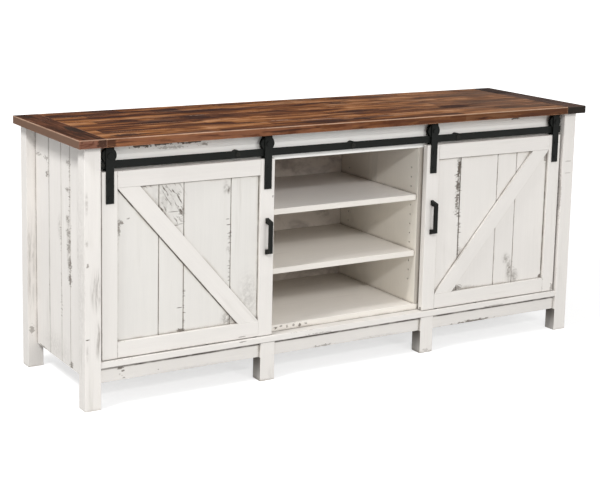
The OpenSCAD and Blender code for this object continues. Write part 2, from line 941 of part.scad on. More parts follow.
// strap that climbs the door's face, bends over the wheel and comes down behind the track
module hanger(x) {
    outer_h = hanger_z1 - door_z1;
    difference() {
        union() {
            translate([x + strap_w / 2, wheel_y, door_z1])
                rotate([90, 0, -90])
                    linear_extrude(strap_w)
                        difference() {
                            arch(fork_gap + 2 * strap_t, outer_h, bend_r);
                            translate([0, -cut])
                                arch(fork_gap, outer_h - strap_t + cut, bend_r - strap_t);
                        }
            box([x - strap_w / 2, strap_y0, door_z1 - strap_drop],
                [x + strap_w / 2, door_y0, door_z1 + cut]);
        }
        rod_y(x, strap_y0 - cut, fork_y1 + cut, wheel_z, axle_d / 2 + hole_play);
        strap_screw_holes(x, screw_d / 2 + hole_play);
    }
}

// wheel profile: radius against distance along the axle
module wheel(x) {
    bore = axle_d / 2 + axle_play;
    hub_wall = 3;
    hub = bore + hub_wall;
    half = wheel_t / 2;
    seat_play = 0.4;
    seat = rail_t / 2 + seat_play;
    flare = 0.6;
    mouth = seat + flare;
    dish = 1.2;
    rim = 1;
    outline = [
        [bore, -half], [hub, -half], [hub + dish, -half + dish], [groove_r - dish, -half + dish],
        [groove_r, -half], [wheel_r - rim, -half], [wheel_r, -half + rim], [wheel_r, -mouth],
        [groove_r, -seat], [groove_r, seat],
        [wheel_r, mouth], [wheel_r, half - rim], [wheel_r - rim, half], [groove_r, half],
        [groove_r - dish, half - dish], [hub + dish, half - dish], [hub, half], [bore, half]
    ];
    translate([x, wheel_y, wheel_z]) rotate([90, 0, 0]) rotate_extrude($fn = 64) polygon(outline);
}

// axle bolts with a low head in front of the hanger and a hexagon nut behind it
module axle_bolts() {
    for (x = [-outer_stile_mid, -inner_stile_mid]) {
        rod_y(x, strap_y0 - axle_head_t, strap_y0, wheel_z, axle_head_d / 2);
        rod_y(x, strap_y0 - cut, fork_y1 + axle_nut_t, wheel_z, axle_d / 2);
        translate([x, fork_y1 + axle_nut_t, wheel_z])
            rotate([90, 0, 0]) cylinder(h = axle_nut_t, r = axle_d, $fn = 6);
    }
}

// strap screws from the front and pull screws from the back
module door_screws() {
    for (x = [-outer_stile_mid, -inner_stile_mid], z = strap_screw_zs) {
        rod_y(x, strap_y0 - screw_head_t, strap_y0, z, screw_head_d / 2);
        rod_y(x, strap_y0 - cut, door_y1 - screw_stop - slip, z, screw_d / 2);
    }
    for (z = pull_screw_zs) {
        rod_y(-inner_stile_mid, door_y1, door_y1 + screw_head_t, z, screw_head_d / 2);
        rod_y(-inner_stile_mid, door_y0 - pull_screw_grip + slip, door_y1 + cut, z, screw_d / 2);
    }
}

// ---------------------------------------------------------------- left door

module left_outer_stile() {
    color(paint) outer_stile();
}

module left_inner_stile() {
    color(paint) inner_stile();
}

module left_door_top_rail() {
    color(paint) door_top_rail();
}

module left_door_bottom_rail() {
    color(paint) door_bottom_rail();
}

module left_brace() {
    color(paint) brace();
}

module left_door_panel() {
    color(paint) door_panel();
}

module left_pull() {
    color(steel) pull();
}

module left_door_screws() {
    color(steel) door_screws();
}

module left_axle_bolts() {
    color(steel) axle_bolts();
}

module left_outer_hanger() {
    color(steel) hanger(-outer_stile_mid);
}

module left_inner_hanger() {
    color(steel) hanger(-inner_stile_mid);
}

module left_outer_wheel() {
    color(steel) wheel(-outer_stile_mid);
}

module left_inner_wheel() {
    color(steel) wheel(-inner_stile_mid);
}

// ---------------------------------------------------------------- right door

module right_outer_stile() {
    color(paint) on_right() outer_stile();
}

module right_inner_stile() {
    color(paint) on_right() inner_stile();
}

module right_door_top_rail() {
    color(paint) on_right() door_top_rail();
}

module right_door_bottom_rail() {
    color(paint) on_right() door_bottom_rail();
}

module right_brace() {
    color(paint) on_right() brace();
}

module right_door_panel() {
    color(paint) on_right() door_panel();
}

module right_pull() {
    color(steel) on_right() pull();
}

module right_door_screws() {
    color(steel) on_right() door_screws();
}

module right_axle_bolts() {
    color(steel) on_right() axle_bolts();
}

module right_outer_hanger() {
    color(steel) on_right() hanger(-outer_stile_mid);
}

module right_inner_hanger() {
    color(steel) on_right() hanger(-inner_stile_mid);
}

module right_outer_wheel() {
    color(steel) on_right() wheel(-outer_stile_mid);
}

module right_inner_wheel() {
    color(steel) on_right() wheel(-inner_stile_mid);
}

top_planks();
top_end_left();
top_end_right();
post_front_left();
post_front_right();
post_back_left();
post_back_right();
middle_leg_left();
middle_leg_right();
rear_middle_legs();
side_panel_left();
side_panel_right();
header();
front_sill();
aprons();
rear_top_rail();
rear_bottom_rail();
bottom_board();
divider_left();
divider_right();
shelf_middle_upper();
shelf_middle_lower();
shelf_side_left();
shelf_side_right();
shelf_pins();
back_panel_left();
back_panel_middle();
back_panel_right();
top_cleats();
track_bar();
track_standoffs();
track_bolts();
door_guides();
left_outer_stile();
left_inner_stile();
left_door_top_rail();
left_door_bottom_rail();
left_brace();
left_door_panel();
left_pull();
left_door_screws();
left_axle_bolts();
left_outer_hanger();
left_inner_hanger();
left_outer_wheel();
left_inner_wheel();
right_outer_stile();
right_inner_stile();
right_door_top_rail();
right_door_bottom_rail();
right_brace();
right_door_panel();
right_pull();
right_door_screws();
right_axle_bolts();
right_outer_hanger();
right_inner_hanger();
right_outer_wheel();
right_inner_wheel();
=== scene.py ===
"""Farmhouse TV stand with two rolling barn doors: finishes, studio and camera.

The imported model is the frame. Every length here is in metres in that frame: +X runs
along the stand, +Y to the back and +Z up, with the origin on the floor.
"""

import functools
import logging
import math
from dataclasses import dataclass
from enum import Enum

import bpy
from mathutils import Matrix, Vector


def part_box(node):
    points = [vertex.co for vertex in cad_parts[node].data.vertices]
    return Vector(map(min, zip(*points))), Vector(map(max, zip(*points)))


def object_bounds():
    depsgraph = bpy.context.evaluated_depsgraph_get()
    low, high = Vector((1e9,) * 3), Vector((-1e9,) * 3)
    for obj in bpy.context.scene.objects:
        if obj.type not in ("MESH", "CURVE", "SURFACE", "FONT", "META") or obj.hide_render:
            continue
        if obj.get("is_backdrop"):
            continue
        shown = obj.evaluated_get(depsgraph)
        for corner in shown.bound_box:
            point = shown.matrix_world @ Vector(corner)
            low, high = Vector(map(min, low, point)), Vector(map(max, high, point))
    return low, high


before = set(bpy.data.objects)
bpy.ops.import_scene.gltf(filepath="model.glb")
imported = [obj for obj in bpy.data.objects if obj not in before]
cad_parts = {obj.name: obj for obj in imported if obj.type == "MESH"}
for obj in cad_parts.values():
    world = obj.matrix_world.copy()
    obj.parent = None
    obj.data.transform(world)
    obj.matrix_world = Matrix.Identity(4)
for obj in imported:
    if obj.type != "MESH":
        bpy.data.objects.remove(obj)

LOG = logging.getLogger("tv_stand")

Colour = tuple[float, float, float]
Point = tuple[float, float, float]
Socket = bpy.types.NodeSocket
Wire = Socket | float | Point

ORIGIN: Point = (0.0, 0.0, 0.0)
BRACE_RUN, BRACE_RISE = 0.659, 0.753


def linear(red: int, green: int, blue: int) -> Colour:
    """Turn an sRGB colour into the linear colour that shaders take.

    Args:
        red: Red, 0 to 255.
        green: Green, 0 to 255.
        blue: Blue, 0 to 255.

    Returns:
        The colour in linear light, 0 to 1.
    """
    def channel(value: int) -> float:
        """Decode one channel."""
        share = value / 255
        return share / 12.92 if share <= 0.04045 else ((share + 0.055) / 1.055) ** 2.4

    return channel(red), channel(green), channel(blue)


class Grain(Enum):
    """Which way a board's fibres run."""

    LENGTHWISE = "X"
    CROSSWISE = "Y"
    UPRIGHT = "Z"
    FALLING = "down to the right"
    RISING = "up to the right"


class Side(Enum):
    """Which door, and the sign of its X."""

    LEFT = -1
    RIGHT = 1

    @property
    def word(self) -> str:
        """The side as it stands in node names."""
        return self.name.lower()


# ------------------------------------------------------------------ shader wiring


class Wiring:
    """Places nodes in one shader tree and wires them up."""

    def __init__(self, tree: bpy.types.NodeTree) -> None:
        """Start work on a tree."""
        self.tree = tree

    def put(self, kind: str, wires: dict[str | int, Wire] | None = None,
            **settings: object) -> bpy.types.Node:
        """Add a node.

        Args:
            kind: The node's type name.
            wires: What its inputs get, by name or number.
            **settings: Its properties.

        Returns:
            The new node.
        """
        node = self.tree.nodes.new(kind)
        for name, value in settings.items():
            setattr(node, name, value)
        for key, wire in (wires or {}).items():
            self.feed(node.inputs[key], wire)
        return node

    def feed(self, socket: Socket, wire: Wire) -> None:
        """Give an input a link, a number or a colour.

        Args:
            socket: The input.
            wire: What it gets.
        """
        if isinstance(wire, bpy.types.NodeSocket):
            self.tree.links.new(wire, socket)
        elif isinstance(wire, tuple) and socket.type == "RGBA":
            socket.default_value = (*wire, 1.0)
        else:
            socket.default_value = wire

    def use(self, effect: bpy.types.NodeTree, **wires: Wire) -> bpy.types.NodeOutputs:
        """Place an effect with its inputs by name, and return its outputs."""
        return self.put("ShaderNodeGroup", wires, node_tree=effect).outputs

    def maths(self, operation: str, *wires: Wire, clamp: bool = False) -> Socket:
        """Return a Math node's result, held between 0 and 1 where clamp is set."""
        inputs = dict(enumerate(wires))
        return self.put("ShaderNodeMath", inputs, operation=operation, use_clamp=clamp).outputs[0]

    def times(self, first: Wire, second: Wire) -> Socket:
        """Return the product of two numbers."""
        return self.maths("MULTIPLY", first, second)

    def most(self, first: Wire, second: Wire) -> Socket:
        """Return the larger of two numbers."""
        return self.maths("MAXIMUM", first, second)

    def less(self, first: Wire, second: Wire) -> Socket:
        """Return the first number less the second."""
        return self.maths("SUBTRACT", first, second)

    def size(self, number: Wire) -> Socket:
        """Return a number without its sign."""
        return self.maths("ABSOLUTE", number)

    def vector(self, operation: str, *wires: Wire) -> Socket:
        """Return a Vector Math node's result: a number for LENGTH and DOT_PRODUCT."""
        node = self.put("ShaderNodeVectorMath", dict(enumerate(wires)), operation=operation)
        return node.outputs["Value" if operation in ("LENGTH", "DOT_PRODUCT") else "Vector"]

    def split(self, vector: Wire) -> tuple[Socket, ...]:
        """Return a vector's three numbers."""
        return tuple(self.put("ShaderNodeSeparateXYZ", {0: vector}).outputs)

    def join(self, *numbers: Wire) -> Socket:
        """Return the vector of three numbers."""
        return self.put("ShaderNodeCombineXYZ", dict(enumerate(numbers))).outputs[0]

    def noise(self, vector: Wire, scale: float | Point, detail: float = 3.0,
              rough: float = 0.55, distortion: float = 0.0) -> Socket:
        """Add a Noise Texture.

        Args:
            vector: Where it is read.
            scale: Waves per metre, the same all ways or one number for each axis.
            detail: Octaves.
            rough: Strength of the finer octaves.
            distortion: How much it is warped.

        Returns:
            The noise, about 0 to 1.
        """
        if isinstance(scale, tuple):
            vector, scale = self.vector("MULTIPLY", vector, scale), 1.0
        wires = {"Vector": vector, "Scale": scale, "Detail": detail, "Roughness": rough,
                 "Distortion": distortion}
        return self.put("ShaderNodeTexNoise", wires).outputs["Fac"]

    def random(self, vector: Wire) -> Socket:
        """Return one random number, 0 to 1, for each vector of whole numbers."""
        wires = {"Vector": vector}
        return self.put("ShaderNodeTexWhiteNoise", wires, noise_dimensions="3D").outputs["Value"]

    def ramp(self, value: Wire, start: Wire, end: Wire, low: Wire = 0.0,
             high: Wire = 1.0) -> Socket:
        """Ease from low to high while value goes from start to end.

        Args:
            value: The input.
            start: Where the change begins.
            end: Where it ends.
            low: The result before start.
            high: The result after end.

        Returns:
            The eased value.
        """
        wires = {"Value": value, "From Min": start, "From Max": end, "To Min": low,
                 "To Max": high}
        node = self.put("ShaderNodeMapRange", wires, interpolation_type="SMOOTHSTEP", clamp=True)
        return node.outputs["Result"]

    def mix(self, factor: Wire, first: Wire, second: Wire, blend: str = "MIX") -> Socket:
        """Mix two colours.

        Args:
            factor: Share of the second colour.
            first: The first colour.
            second: The second colour.
            blend: The blend mode.

        Returns:
            The mixed colour.
        """
        wires = {0: factor, 6: first, 7: second}
        return self.put("ShaderNodeMix", wires, data_type="RGBA", blend_type=blend,
                        clamp_factor=True).outputs[2]

    def shade(self, colour: Wire, tone: Socket) -> Socket:
        """Return a colour made lighter or darker by a tone."""
        return self.mix(1.0, colour, self.join(tone, tone, tone), "MULTIPLY")


class Effect(Wiring):
    """A shader node group with named inputs and outputs."""

    def __init__(self, name: str, **inputs: float | Point) -> None:
        """Start a group.

        Args:
            name: The group's name.
            **inputs: Default of each input; a tuple makes a vector input.
        """
        super().__init__(bpy.data.node_groups.new(name, "ShaderNodeTree"))
        for word, default in inputs.items():
            kind = "NodeSocketVector" if isinstance(default, tuple) else "NodeSocketFloat"
            socket = self.tree.interface.new_socket(word, in_out="INPUT", socket_type=kind)
            socket.default_value = default
        self.given = self.put("NodeGroupInput").outputs
        self.place = self.given.get("Vector")

    def gives(self, **results: Wire) -> bpy.types.NodeTree:
        """Finish the group.

        Args:
            **results: What each output gives. All are numbers.

        Returns:
            The node group.
        """
        for word in results:
            self.tree.interface.new_socket(word, in_out="OUTPUT", socket_type="NodeSocketFloat")
        self.put("NodeGroupOutput", results)
        return self.tree

    def away(self) -> Socket:
        """Return the distance from a mark's Middle, in parts of its Reach."""
        moved = self.vector("SUBTRACT", self.place, self.given["Middle"])
        return self.vector("LENGTH", self.vector("DIVIDE", moved, self.given["Reach"]))


MARK_INPUTS = {"Vector": ORIGIN, "Middle": ORIGIN, "Reach": (0.1, 0.1, 0.1)}


# ------------------------------------------------------------------ effects for any board


@functools.cache
def fibre_effect() -> bpy.types.NodeTree:
    """Build wood fibres along the group's X.

    Returns:
        The node group: fine lines, and long streaks.
    """
    e = Effect("wood_fibre", Vector=ORIGIN, Seed=0.0)
    seed = e.given["Seed"]
    shifted = e.vector("ADD", e.place, e.join(seed, 0.0, seed))
    slow = e.noise(shifted, (3.0, 14.0, 14.0), 3.0, 0.5, 0.4)
    wander = e.times(e.less(slow, 0.5), 0.02)
    bent = e.vector("ADD", shifted, e.join(0.0, wander, wander))
    return e.gives(Fine=e.noise(bent, (9.0, 620.0, 620.0), 3.0, 0.6),
                   Streak=e.noise(bent, (4.0, 85.0, 85.0), 4.0, 0.62, 0.3))


@functools.cache
def spot_effect() -> bpy.types.NodeTree:
    """Build a ragged spot.

    Returns:
        The node group: a mask, solid in the middle and broken up towards its rim.
    """
    e = Effect("ragged_spot", **MARK_INPUTS, Ragged=0.5)
    solid = e.maths("SUBTRACT", 1.0, e.away(), clamp=True)
    grit = e.noise(e.place, (95.0, 95.0, 230.0), 4.0, 0.66)
    torn = e.times(e.less(grit, 0.5), e.times(e.given["Ragged"], 5.0))
    left = e.ramp(e.maths("ADD", solid, torn), 0.34, 0.58)
    return e.gives(Mask=e.times(e.ramp(solid, 0.0, 0.12), left))


@functools.cache
def smear_effect() -> bpy.types.NodeTree:
    """Build a thin soft smear.

    Returns:
        The node group: a mask with streaks along the group's X.
    """
    e = Effect("thin_smear", **MARK_INPUTS)
    streak = e.noise(e.place, (14.0, 120.0, 120.0), 4.0, 0.62, 0.4)
    return e.gives(Mask=e.times(e.ramp(e.away(), 1.0, 0.15),
                                e.ramp(streak, 0.40, 0.66, 0.12, 1.0)))


@functools.cache
def stain_effect() -> bpy.types.NodeTree:
    """Build a soft stain.

    Returns:
        The node group: an uneven mask that fades from the middle to the rim.
    """
    e = Effect("soft_stain", **MARK_INPUTS)
    cloudy = e.ramp(e.noise(e.place, 95.0, 5.0, 0.65), 0.28, 0.66)
    return e.gives(Mask=e.times(e.ramp(e.away(), 1.0, 0.0), cloudy))


@functools.cache
def stroke_effect() -> bpy.types.NodeTree:
    """Build a patch of slanting strokes.

    Returns:
        The node group: a mask of strokes that drop towards the right.
    """
    e = Effect("slant_strokes", **MARK_INPUTS)
    solid = e.maths("SUBTRACT", 1.0, e.away(), clamp=True)
    along = e.vector("DOT_PRODUCT", e.place, (14.3, 0.0, -21.58))
    across = e.vector("DOT_PRODUCT", e.place, (124.5, 0.0, 82.5))
    stroke = e.noise(e.join(along, across, 2.0), 1.0, 4.0, 0.66, 0.5)
    return e.gives(Mask=e.times(e.ramp(solid, 0.0, 0.35), e.ramp(stroke, 0.53, 0.62)))


@functools.cache
def edge_effect() -> bpy.types.NodeTree:
    """Find sharp edges.

    Returns:
        The node group: a mask within Width of a board's edge.
    """
    e = Effect("board_edge", Width=0.002)
    soft = e.put("ShaderNodeBevel", {"Radius": e.given["Width"]}, samples=4).outputs["Normal"]
    hard = e.put("ShaderNodeNewGeometry").outputs["Normal"]
    return e.gives(Mask=e.ramp(e.vector("DOT_PRODUCT", soft, hard), 0.995, 0.90))


# ------------------------------------------------------------------ effects for paint


@functools.cache
def brush_effect() -> bpy.types.NodeTree:
    """Build a brushed coat.

    Returns:
        The node group: greyish thin places, how light the coat is, and its broad clouds.
    """
    e = Effect("brushed_coat", Vector=ORIGIN, Along=ORIGIN, Fine=0.5, Streak=0.5)
    cloud = e.noise(e.place, 5.0, 3.0, 0.5)
    smear = e.noise(e.given["Along"], (2.2, 34.0, 34.0), 4.0, 0.6, 0.5)
    thin = e.times(e.ramp(smear, 0.54, 0.78), e.ramp(cloud, 0.44, 0.62))
    tone = e.times(e.ramp(e.given["Fine"], 0.25, 0.75, 0.984, 1.008),
                   e.ramp(e.given["Streak"], 0.30, 0.70, 0.986, 1.006))
    return e.gives(Thin=e.times(thin, 0.6), Cloud=cloud,
                   Tone=e.times(tone, e.ramp(cloud, 0.30, 0.70, 0.975, 1.01)))


@functools.cache
def glaze_effect() -> bpy.types.NodeTree:
    """Find inside corners and gaps, where glaze gathers.

    Returns:
        The node group: uneven masks of places near them, and right in them.
    """
    e = Effect("gathered_glaze", Vector=ORIGIN, Cloud=0.5, Reach=0.010, Share=1.0)
    hidden = e.put("ShaderNodeAmbientOcclusion", {"Distance": e.given["Reach"]}, samples=6)
    open_air, share = hidden.outputs["AO"], e.given["Share"]
    uneven = e.ramp(e.noise(e.place, 17.0, 3.0, 0.6), 0.34, 0.64, 0.10, 0.62)
    gathered = e.ramp(e.given["Cloud"], 0.35, 0.60, 0.55, 0.90)
    return e.gives(Near=e.times(e.times(e.ramp(open_air, 0.98, 0.55), uneven), share),
                   Deep=e.times(e.times(e.ramp(open_air, 0.66, 0.38), gathered), share))


@functools.cache
def underneath_effect() -> bpy.types.NodeTree:
    """Find the sides of the feet under the cabinet, where shade is painted.

    Returns:
        The node group: a mask below the height Below and within Within of the middle.
    """
    e = Effect("grime_underneath", Vector=ORIGIN, Below=0.1, Within=1.0)
    x, _, z = e.split(e.place)
    below, within = e.given["Below"], e.given["Within"]
    normal = e.split(e.put("ShaderNodeNewGeometry").outputs["Normal"])
    sideways = e.ramp(e.size(normal[0]), 0.75, 0.90)
    painted_shade_under = e.ramp(z, e.maths("ADD", below, 0.001), e.less(below, 0.001))
    rising = e.ramp(z, 0.0, below, 0.42, 0.90)
    inner = e.ramp(e.size(x), e.maths("ADD", within, 0.002), within)
    return e.gives(Mask=e.times(e.times(e.times(sideways, painted_shade_under), rising), inner))


@functools.cache
def wear_effect() -> bpy.types.NodeTree:
    """Build the wear that any painted board has.

    Returns:
        The node group: rubbed edges and old scratches, and the patches where wear gathers.
    """
    e = Effect("paint_wear", Vector=ORIGIN, Streak=0.5)
    patch = e.ramp(e.noise(e.place, 9.0, 4.0, 0.6), 0.55, 0.64)
    grit = e.ramp(e.noise(e.place, 160.0, 3.0, 0.7), 0.44, 0.60)
    edge = e.times(e.use(edge_effect(), Width=0.0022)["Mask"], patch)
    scratch = e.times(e.ramp(e.given["Streak"], 0.68, 0.75),
                      e.ramp(e.noise(e.place, 4.3, 2.0, 0.5), 0.57, 0.66))
    worn = e.most(e.times(edge, e.times(grit, 0.75)), e.times(scratch, 0.35))
    return e.gives(Worn=worn, Patch=patch)


@functools.cache
def tick_effect() -> bpy.types.NodeTree:
    """Build paint loss along an upright joint.

    Returns:
        The node group: a mask of short crosswise ticks of uneven length.
    """
    e = Effect("joint_ticks", Across=0.0, Along=0.0, Place=0.0, Low=0.0, High=1.0, Width=0.006,
               Seed=0.0)
    across, along, seed = e.given["Across"], e.given["Along"], e.given["Seed"]
    gap = e.maths("DIVIDE", e.size(e.less(across, e.given["Place"])), e.given["Width"])
    fine = e.noise(e.join(seed, e.times(across, 45.0), e.times(along, 300.0)), 1.0, 3.0, 0.62)
    clump = e.noise(e.join(e.maths("ADD", seed, 5.0), 0.0, e.times(along, 30.0)), 1.0, 2.0)
    length = e.times(e.ramp(fine, 0.46, 0.70), e.ramp(clump, 0.36, 0.58, 0.25, 1.0))
    above = e.ramp(e.less(along, e.given["Low"]), -0.006, 0.006)
    below = e.ramp(e.less(e.given["High"], along), -0.006, 0.006)
    return e.gives(Mask=e.times(e.times(above, below), e.ramp(e.less(length, gap), 0.0, 0.22)))


@functools.cache
def groove_effect() -> bpy.types.NodeTree:
    """Build the line of glaze in a groove.

    Returns:
        The node group: a mask from Least to Most where Gap is under Width.
    """
    e = Effect("groove_line", Vector=ORIGIN, Gap=1.0, Width=0.0018, Least=0.18, Most=0.50)
    width = e.given["Width"]
    uneven = e.ramp(e.noise(e.place, 14.0, 3.0, 0.6), 0.35, 0.65, e.given["Least"],
                    e.given["Most"])
    return e.gives(Mask=e.times(e.ramp(e.given["Gap"], width, e.times(width, 0.35)), uneven))


@functools.cache
def seam_effect() -> bpy.types.NodeTree:
    """Build a straight dark line: glaze in joints, and painted shade where the line stands for a
    shadow.

    Returns:
        The node group: an uneven mask along a line from Start, Length long, towards Ahead.
    """
    e = Effect("glaze_seam", Vector=ORIGIN, Start=ORIGIN, Ahead=(1.0, 0.0, 0.0),
               Across=(0.0, 0.0, 1.0), Length=1.0, Width=0.0022)
    length, width = e.given["Length"], e.given["Width"]
    moved = e.vector("SUBTRACT", e.place, e.given["Start"])
    gap = e.size(e.vector("DOT_PRODUCT", moved, e.given["Across"]))
    along = e.vector("DOT_PRODUCT", moved, e.given["Ahead"])
    inside = e.times(e.ramp(along, -0.002, 0.002),
                     e.ramp(along, e.maths("ADD", length, 0.002), e.less(length, 0.002)))
    uneven = e.ramp(e.noise(e.place, 23.0, 3.0, 0.6), 0.36, 0.60, 0.55, 1.0)
    line = e.times(e.ramp(gap, width, e.times(width, 0.3)), inside)
    return e.gives(Mask=e.times(line, uneven))


@functools.cache
def dim_effect() -> bpy.types.NodeTree:
    """Build a painted shade mask that rises to Share towards the back of a bay."""
    e = Effect("darker_back", Vector=ORIGIN, Share=0.5)
    return e.gives(Mask=e.ramp(e.split(e.place)[1], -0.02, 0.17, 0.0, e.given["Share"]))


# ------------------------------------------------------------------ effects for planks


@functools.cache
def stave_effect() -> bpy.types.NodeTree:
    """Lay strips end to end along the group's X.

    Returns:
        The node group: one random tone for each strip, and the lines between them.
    """
    e = Effect("staves", Vector=ORIGIN, Width=0.047, Length=0.5, Seed=0.0)
    x, y, _ = e.split(e.place)
    width, length, seed = e.given["Width"], e.given["Length"], e.given["Seed"]
    across = e.maths("DIVIDE", y, width)
    row = e.maths("FLOOR", across)
    start = e.random(e.join(row, 3.7, seed))
    along = e.maths("ADD", e.maths("DIVIDE", x, length), e.times(start, 7.0))
    near_side = e.ramp(e.times(e.maths("PINGPONG", across, 0.5), width), 0.0010, 0.0)
    near_end = e.ramp(e.times(e.maths("PINGPONG", along, 0.5), length), 0.0012, 0.0)
    return e.gives(Tone=e.random(e.join(row, e.maths("FLOOR", along), seed)),
                   Joint=e.most(near_side, near_end))


@functools.cache
def figure_effect() -> bpy.types.NodeTree:
    """Build the figure of weathered planks along the group's X.

    Returns:
        The node group: how light the wood is, greyed places, near-black streaks and fine
        pale scratches.
    """
    e = Effect("plank_figure", Vector=ORIGIN, Strip=0.5, Fine=0.5, Streak=0.5)
    blotch = e.noise(e.place, (4.4, 24.0, 24.0), 5.0, 0.64, 0.7)
    grey = e.noise(e.place, (4.0, 20.0, 20.0), 3.0, 0.5)
    burn = e.noise(e.place, (4.2, 40.0, 40.0), 5.0, 0.64, 0.6)
    scratch = e.noise(e.place, (5.0, 420.0, 420.0), 2.0, 0.5)
    parts = ((e.given["Strip"], 0.62), (blotch, 2.5), (e.given["Streak"], 1.5),
             (e.given["Fine"], 0.80))
    tone: Wire = 0.50
    for part, share in parts:
        tone = e.maths("ADD", tone, e.times(e.less(part, 0.5), share))
    return e.gives(Tone=e.maths("MAXIMUM", tone, 0.0, clamp=True),
                   Grey=e.ramp(grey, 0.56, 0.76, 0.0, 0.45), Burnt=e.ramp(burn, 0.575, 0.66),
                   Scratch=e.times(e.ramp(scratch, 0.68, 0.78), 0.5))


@functools.cache
def mottle_effect() -> bpy.types.NodeTree:
    """Build the mottle of a top's front edge.

    Returns:
        The node group: masks of dark places and of light ones.
    """
    e = Effect("front_mottle", Vector=ORIGIN, Share=1.0)
    mottle = e.noise(e.place, (11.0, 60.0, 70.0), 4.0, 0.62)
    return e.gives(Dark=e.times(e.ramp(mottle, 0.50, 0.64, 0.0, 0.75), e.given["Share"]),
                   Light=e.times(e.ramp(mottle, 0.42, 0.32, 0.0, 0.55), e.given["Share"]))


@functools.cache
def arris_effect() -> bpy.types.NodeTree:
    """Build the rubbed edges of a top that ends at Front, End and Top, and a painted highlight
    round its rim.

    Returns:
        The node group: every sharp edge, and the painted highlight round the rim of the upper
            face.
    """
    e = Effect("rubbed_arris", Vector=ORIGIN, Front=-0.2, End=0.8, Top=0.7, Share=0.6)
    x, y, z = e.split(e.place)
    rubbed = e.ramp(e.noise(e.place, 12.0, 3.0, 0.6), 0.35, 0.60, 0.15, 0.85)
    inward = e.maths("MINIMUM", e.less(y, e.given["Front"]), e.less(e.given["End"], e.size(x)))
    rim = e.most(inward, e.less(e.given["Top"], z))
    uneven = e.ramp(e.noise(e.place, 7.0, 4.0, 0.7), 0.36, 0.56, 0.25, e.given["Share"])
    return e.gives(Arris=e.times(e.use(edge_effect(), Width=0.0026)["Mask"], rubbed),
                   Rim=e.times(e.ramp(rim, 0.0030, 0.0014), uneven))


# ------------------------------------------------------------------ effect for steel


@functools.cache
def powder_effect() -> bpy.types.NodeTree:
    """Build a powder coat.

    Returns:
        The node group: its pebble, its broad clouds, and the edges where it is rubbed.
    """
    e = Effect("powder_coat", Vector=ORIGIN)
    cloud = e.noise(e.place, 18.0, 3.0, 0.5)
    edge = e.use(edge_effect(), Width=0.0009)["Mask"]
    return e.gives(Pebble=e.noise(e.place, 900.0, 2.0, 0.5), Cloud=cloud,
                   Rubbed=e.times(edge, e.ramp(cloud, 0.35, 0.7, 0.10, 0.55)))


# ------------------------------------------------------------------ materials


class Finish(Wiring):
    """A material that is being wired: its shader, coordinates and effects."""

    def __init__(self, name: str, grain: Grain = Grain.LENGTHWISE) -> None:
        """Make the material.

        Args:
            name: The material's name.
            grain: Which way the fibres run.
        """
        self.material = bpy.data.materials.new(name)
        self.material.use_nodes = True
        super().__init__(self.material.node_tree)
        self.shader = next(n for n in self.tree.nodes if n.type == "BSDF_PRINCIPLED")
        self.place = self.put("ShaderNodeTexCoord").outputs["Object"]
        self.x, self.y, self.z = self.split(self.place)
        turned = {
            Grain.LENGTHWISE: (self.x, self.y, self.z),
            Grain.CROSSWISE: (self.y, self.x, self.z),
            Grain.UPRIGHT: (self.z, self.x, self.y),
            Grain.FALLING: self.slant(-1.0),
            Grain.RISING: self.slant(1.0),
        }
        self.grain = grain
        self.along = self.join(*turned[grain])

    def slant(self, sign: float) -> tuple[Socket, Socket, Socket]:
        """Find the place along a brace and across it.

        Args:
            sign: 1 where the brace rises to the right, -1 where it falls.

        Returns:
            The place along the brace, the place across it, and Y.
        """
        rise = BRACE_RISE * sign
        along = self.vector("DOT_PRODUCT", self.place, (BRACE_RUN, 0.0, rise))
        across = self.vector("DOT_PRODUCT", self.place, (-rise, 0.0, BRACE_RUN))
        return along, across, self.y

    def turn(self, vector: Point) -> Point:
        """Put a place or reach in the order that the grain gives X, Y and Z.

        Args:
            vector: The place or reach.

        Returns:
            The same numbers, along the grain first.
        """
        x, y, z = vector
        order = {Grain.CROSSWISE: (y, x, z), Grain.UPRIGHT: (z, x, y)}
        return order.get(self.grain, (x, y, z))

    def surface(self, **wires: Wire) -> None:
        """Feed the shader's inputs; an underscore stands for a space."""
        for word, wire in wires.items():
            self.feed(self.shader.inputs[word.replace("_", " ")], wire)

    def relief(self, height: Wire, distance: float) -> None:
        """Raise the surface by height times distance, in shading only."""
        wires = {"Strength": 1.0, "Distance": distance, "Height": height}
        self.surface(Normal=self.put("ShaderNodeBump", wires).outputs["Normal"])


class Mark(Enum):
    """How a mark looks."""

    RAGGED = "ragged"
    SMEAR = "smear"
    STROKES = "strokes"
    CLOUD = "cloud"


@dataclass(frozen=True)
class Rub:
    """A place where the paint is rubbed through or the stain is darker."""

    middle: Point
    reach: Point
    strength: float = 0.8
    ragged: float = 0.5
    mark: Mark = Mark.RAGGED

    def mask(self, f: Finish) -> Socket:
        """Wire the mark into a material.

        Args:
            f: The material in the making.

        Returns:
            The mark's mask.
        """
        if self.mark is Mark.SMEAR:
            found = f.use(smear_effect(), Vector=f.along, Middle=f.turn(self.middle),
                          Reach=f.turn(self.reach))
        elif self.mark is Mark.RAGGED:
            found = f.use(spot_effect(), Vector=f.place, Middle=self.middle, Reach=self.reach,
                          Ragged=self.ragged)
        else:
            effect = stain_effect() if self.mark is Mark.CLOUD else stroke_effect()
            found = f.use(effect, Vector=f.place, Middle=self.middle, Reach=self.reach)
        return f.times(found["Mask"], self.strength)


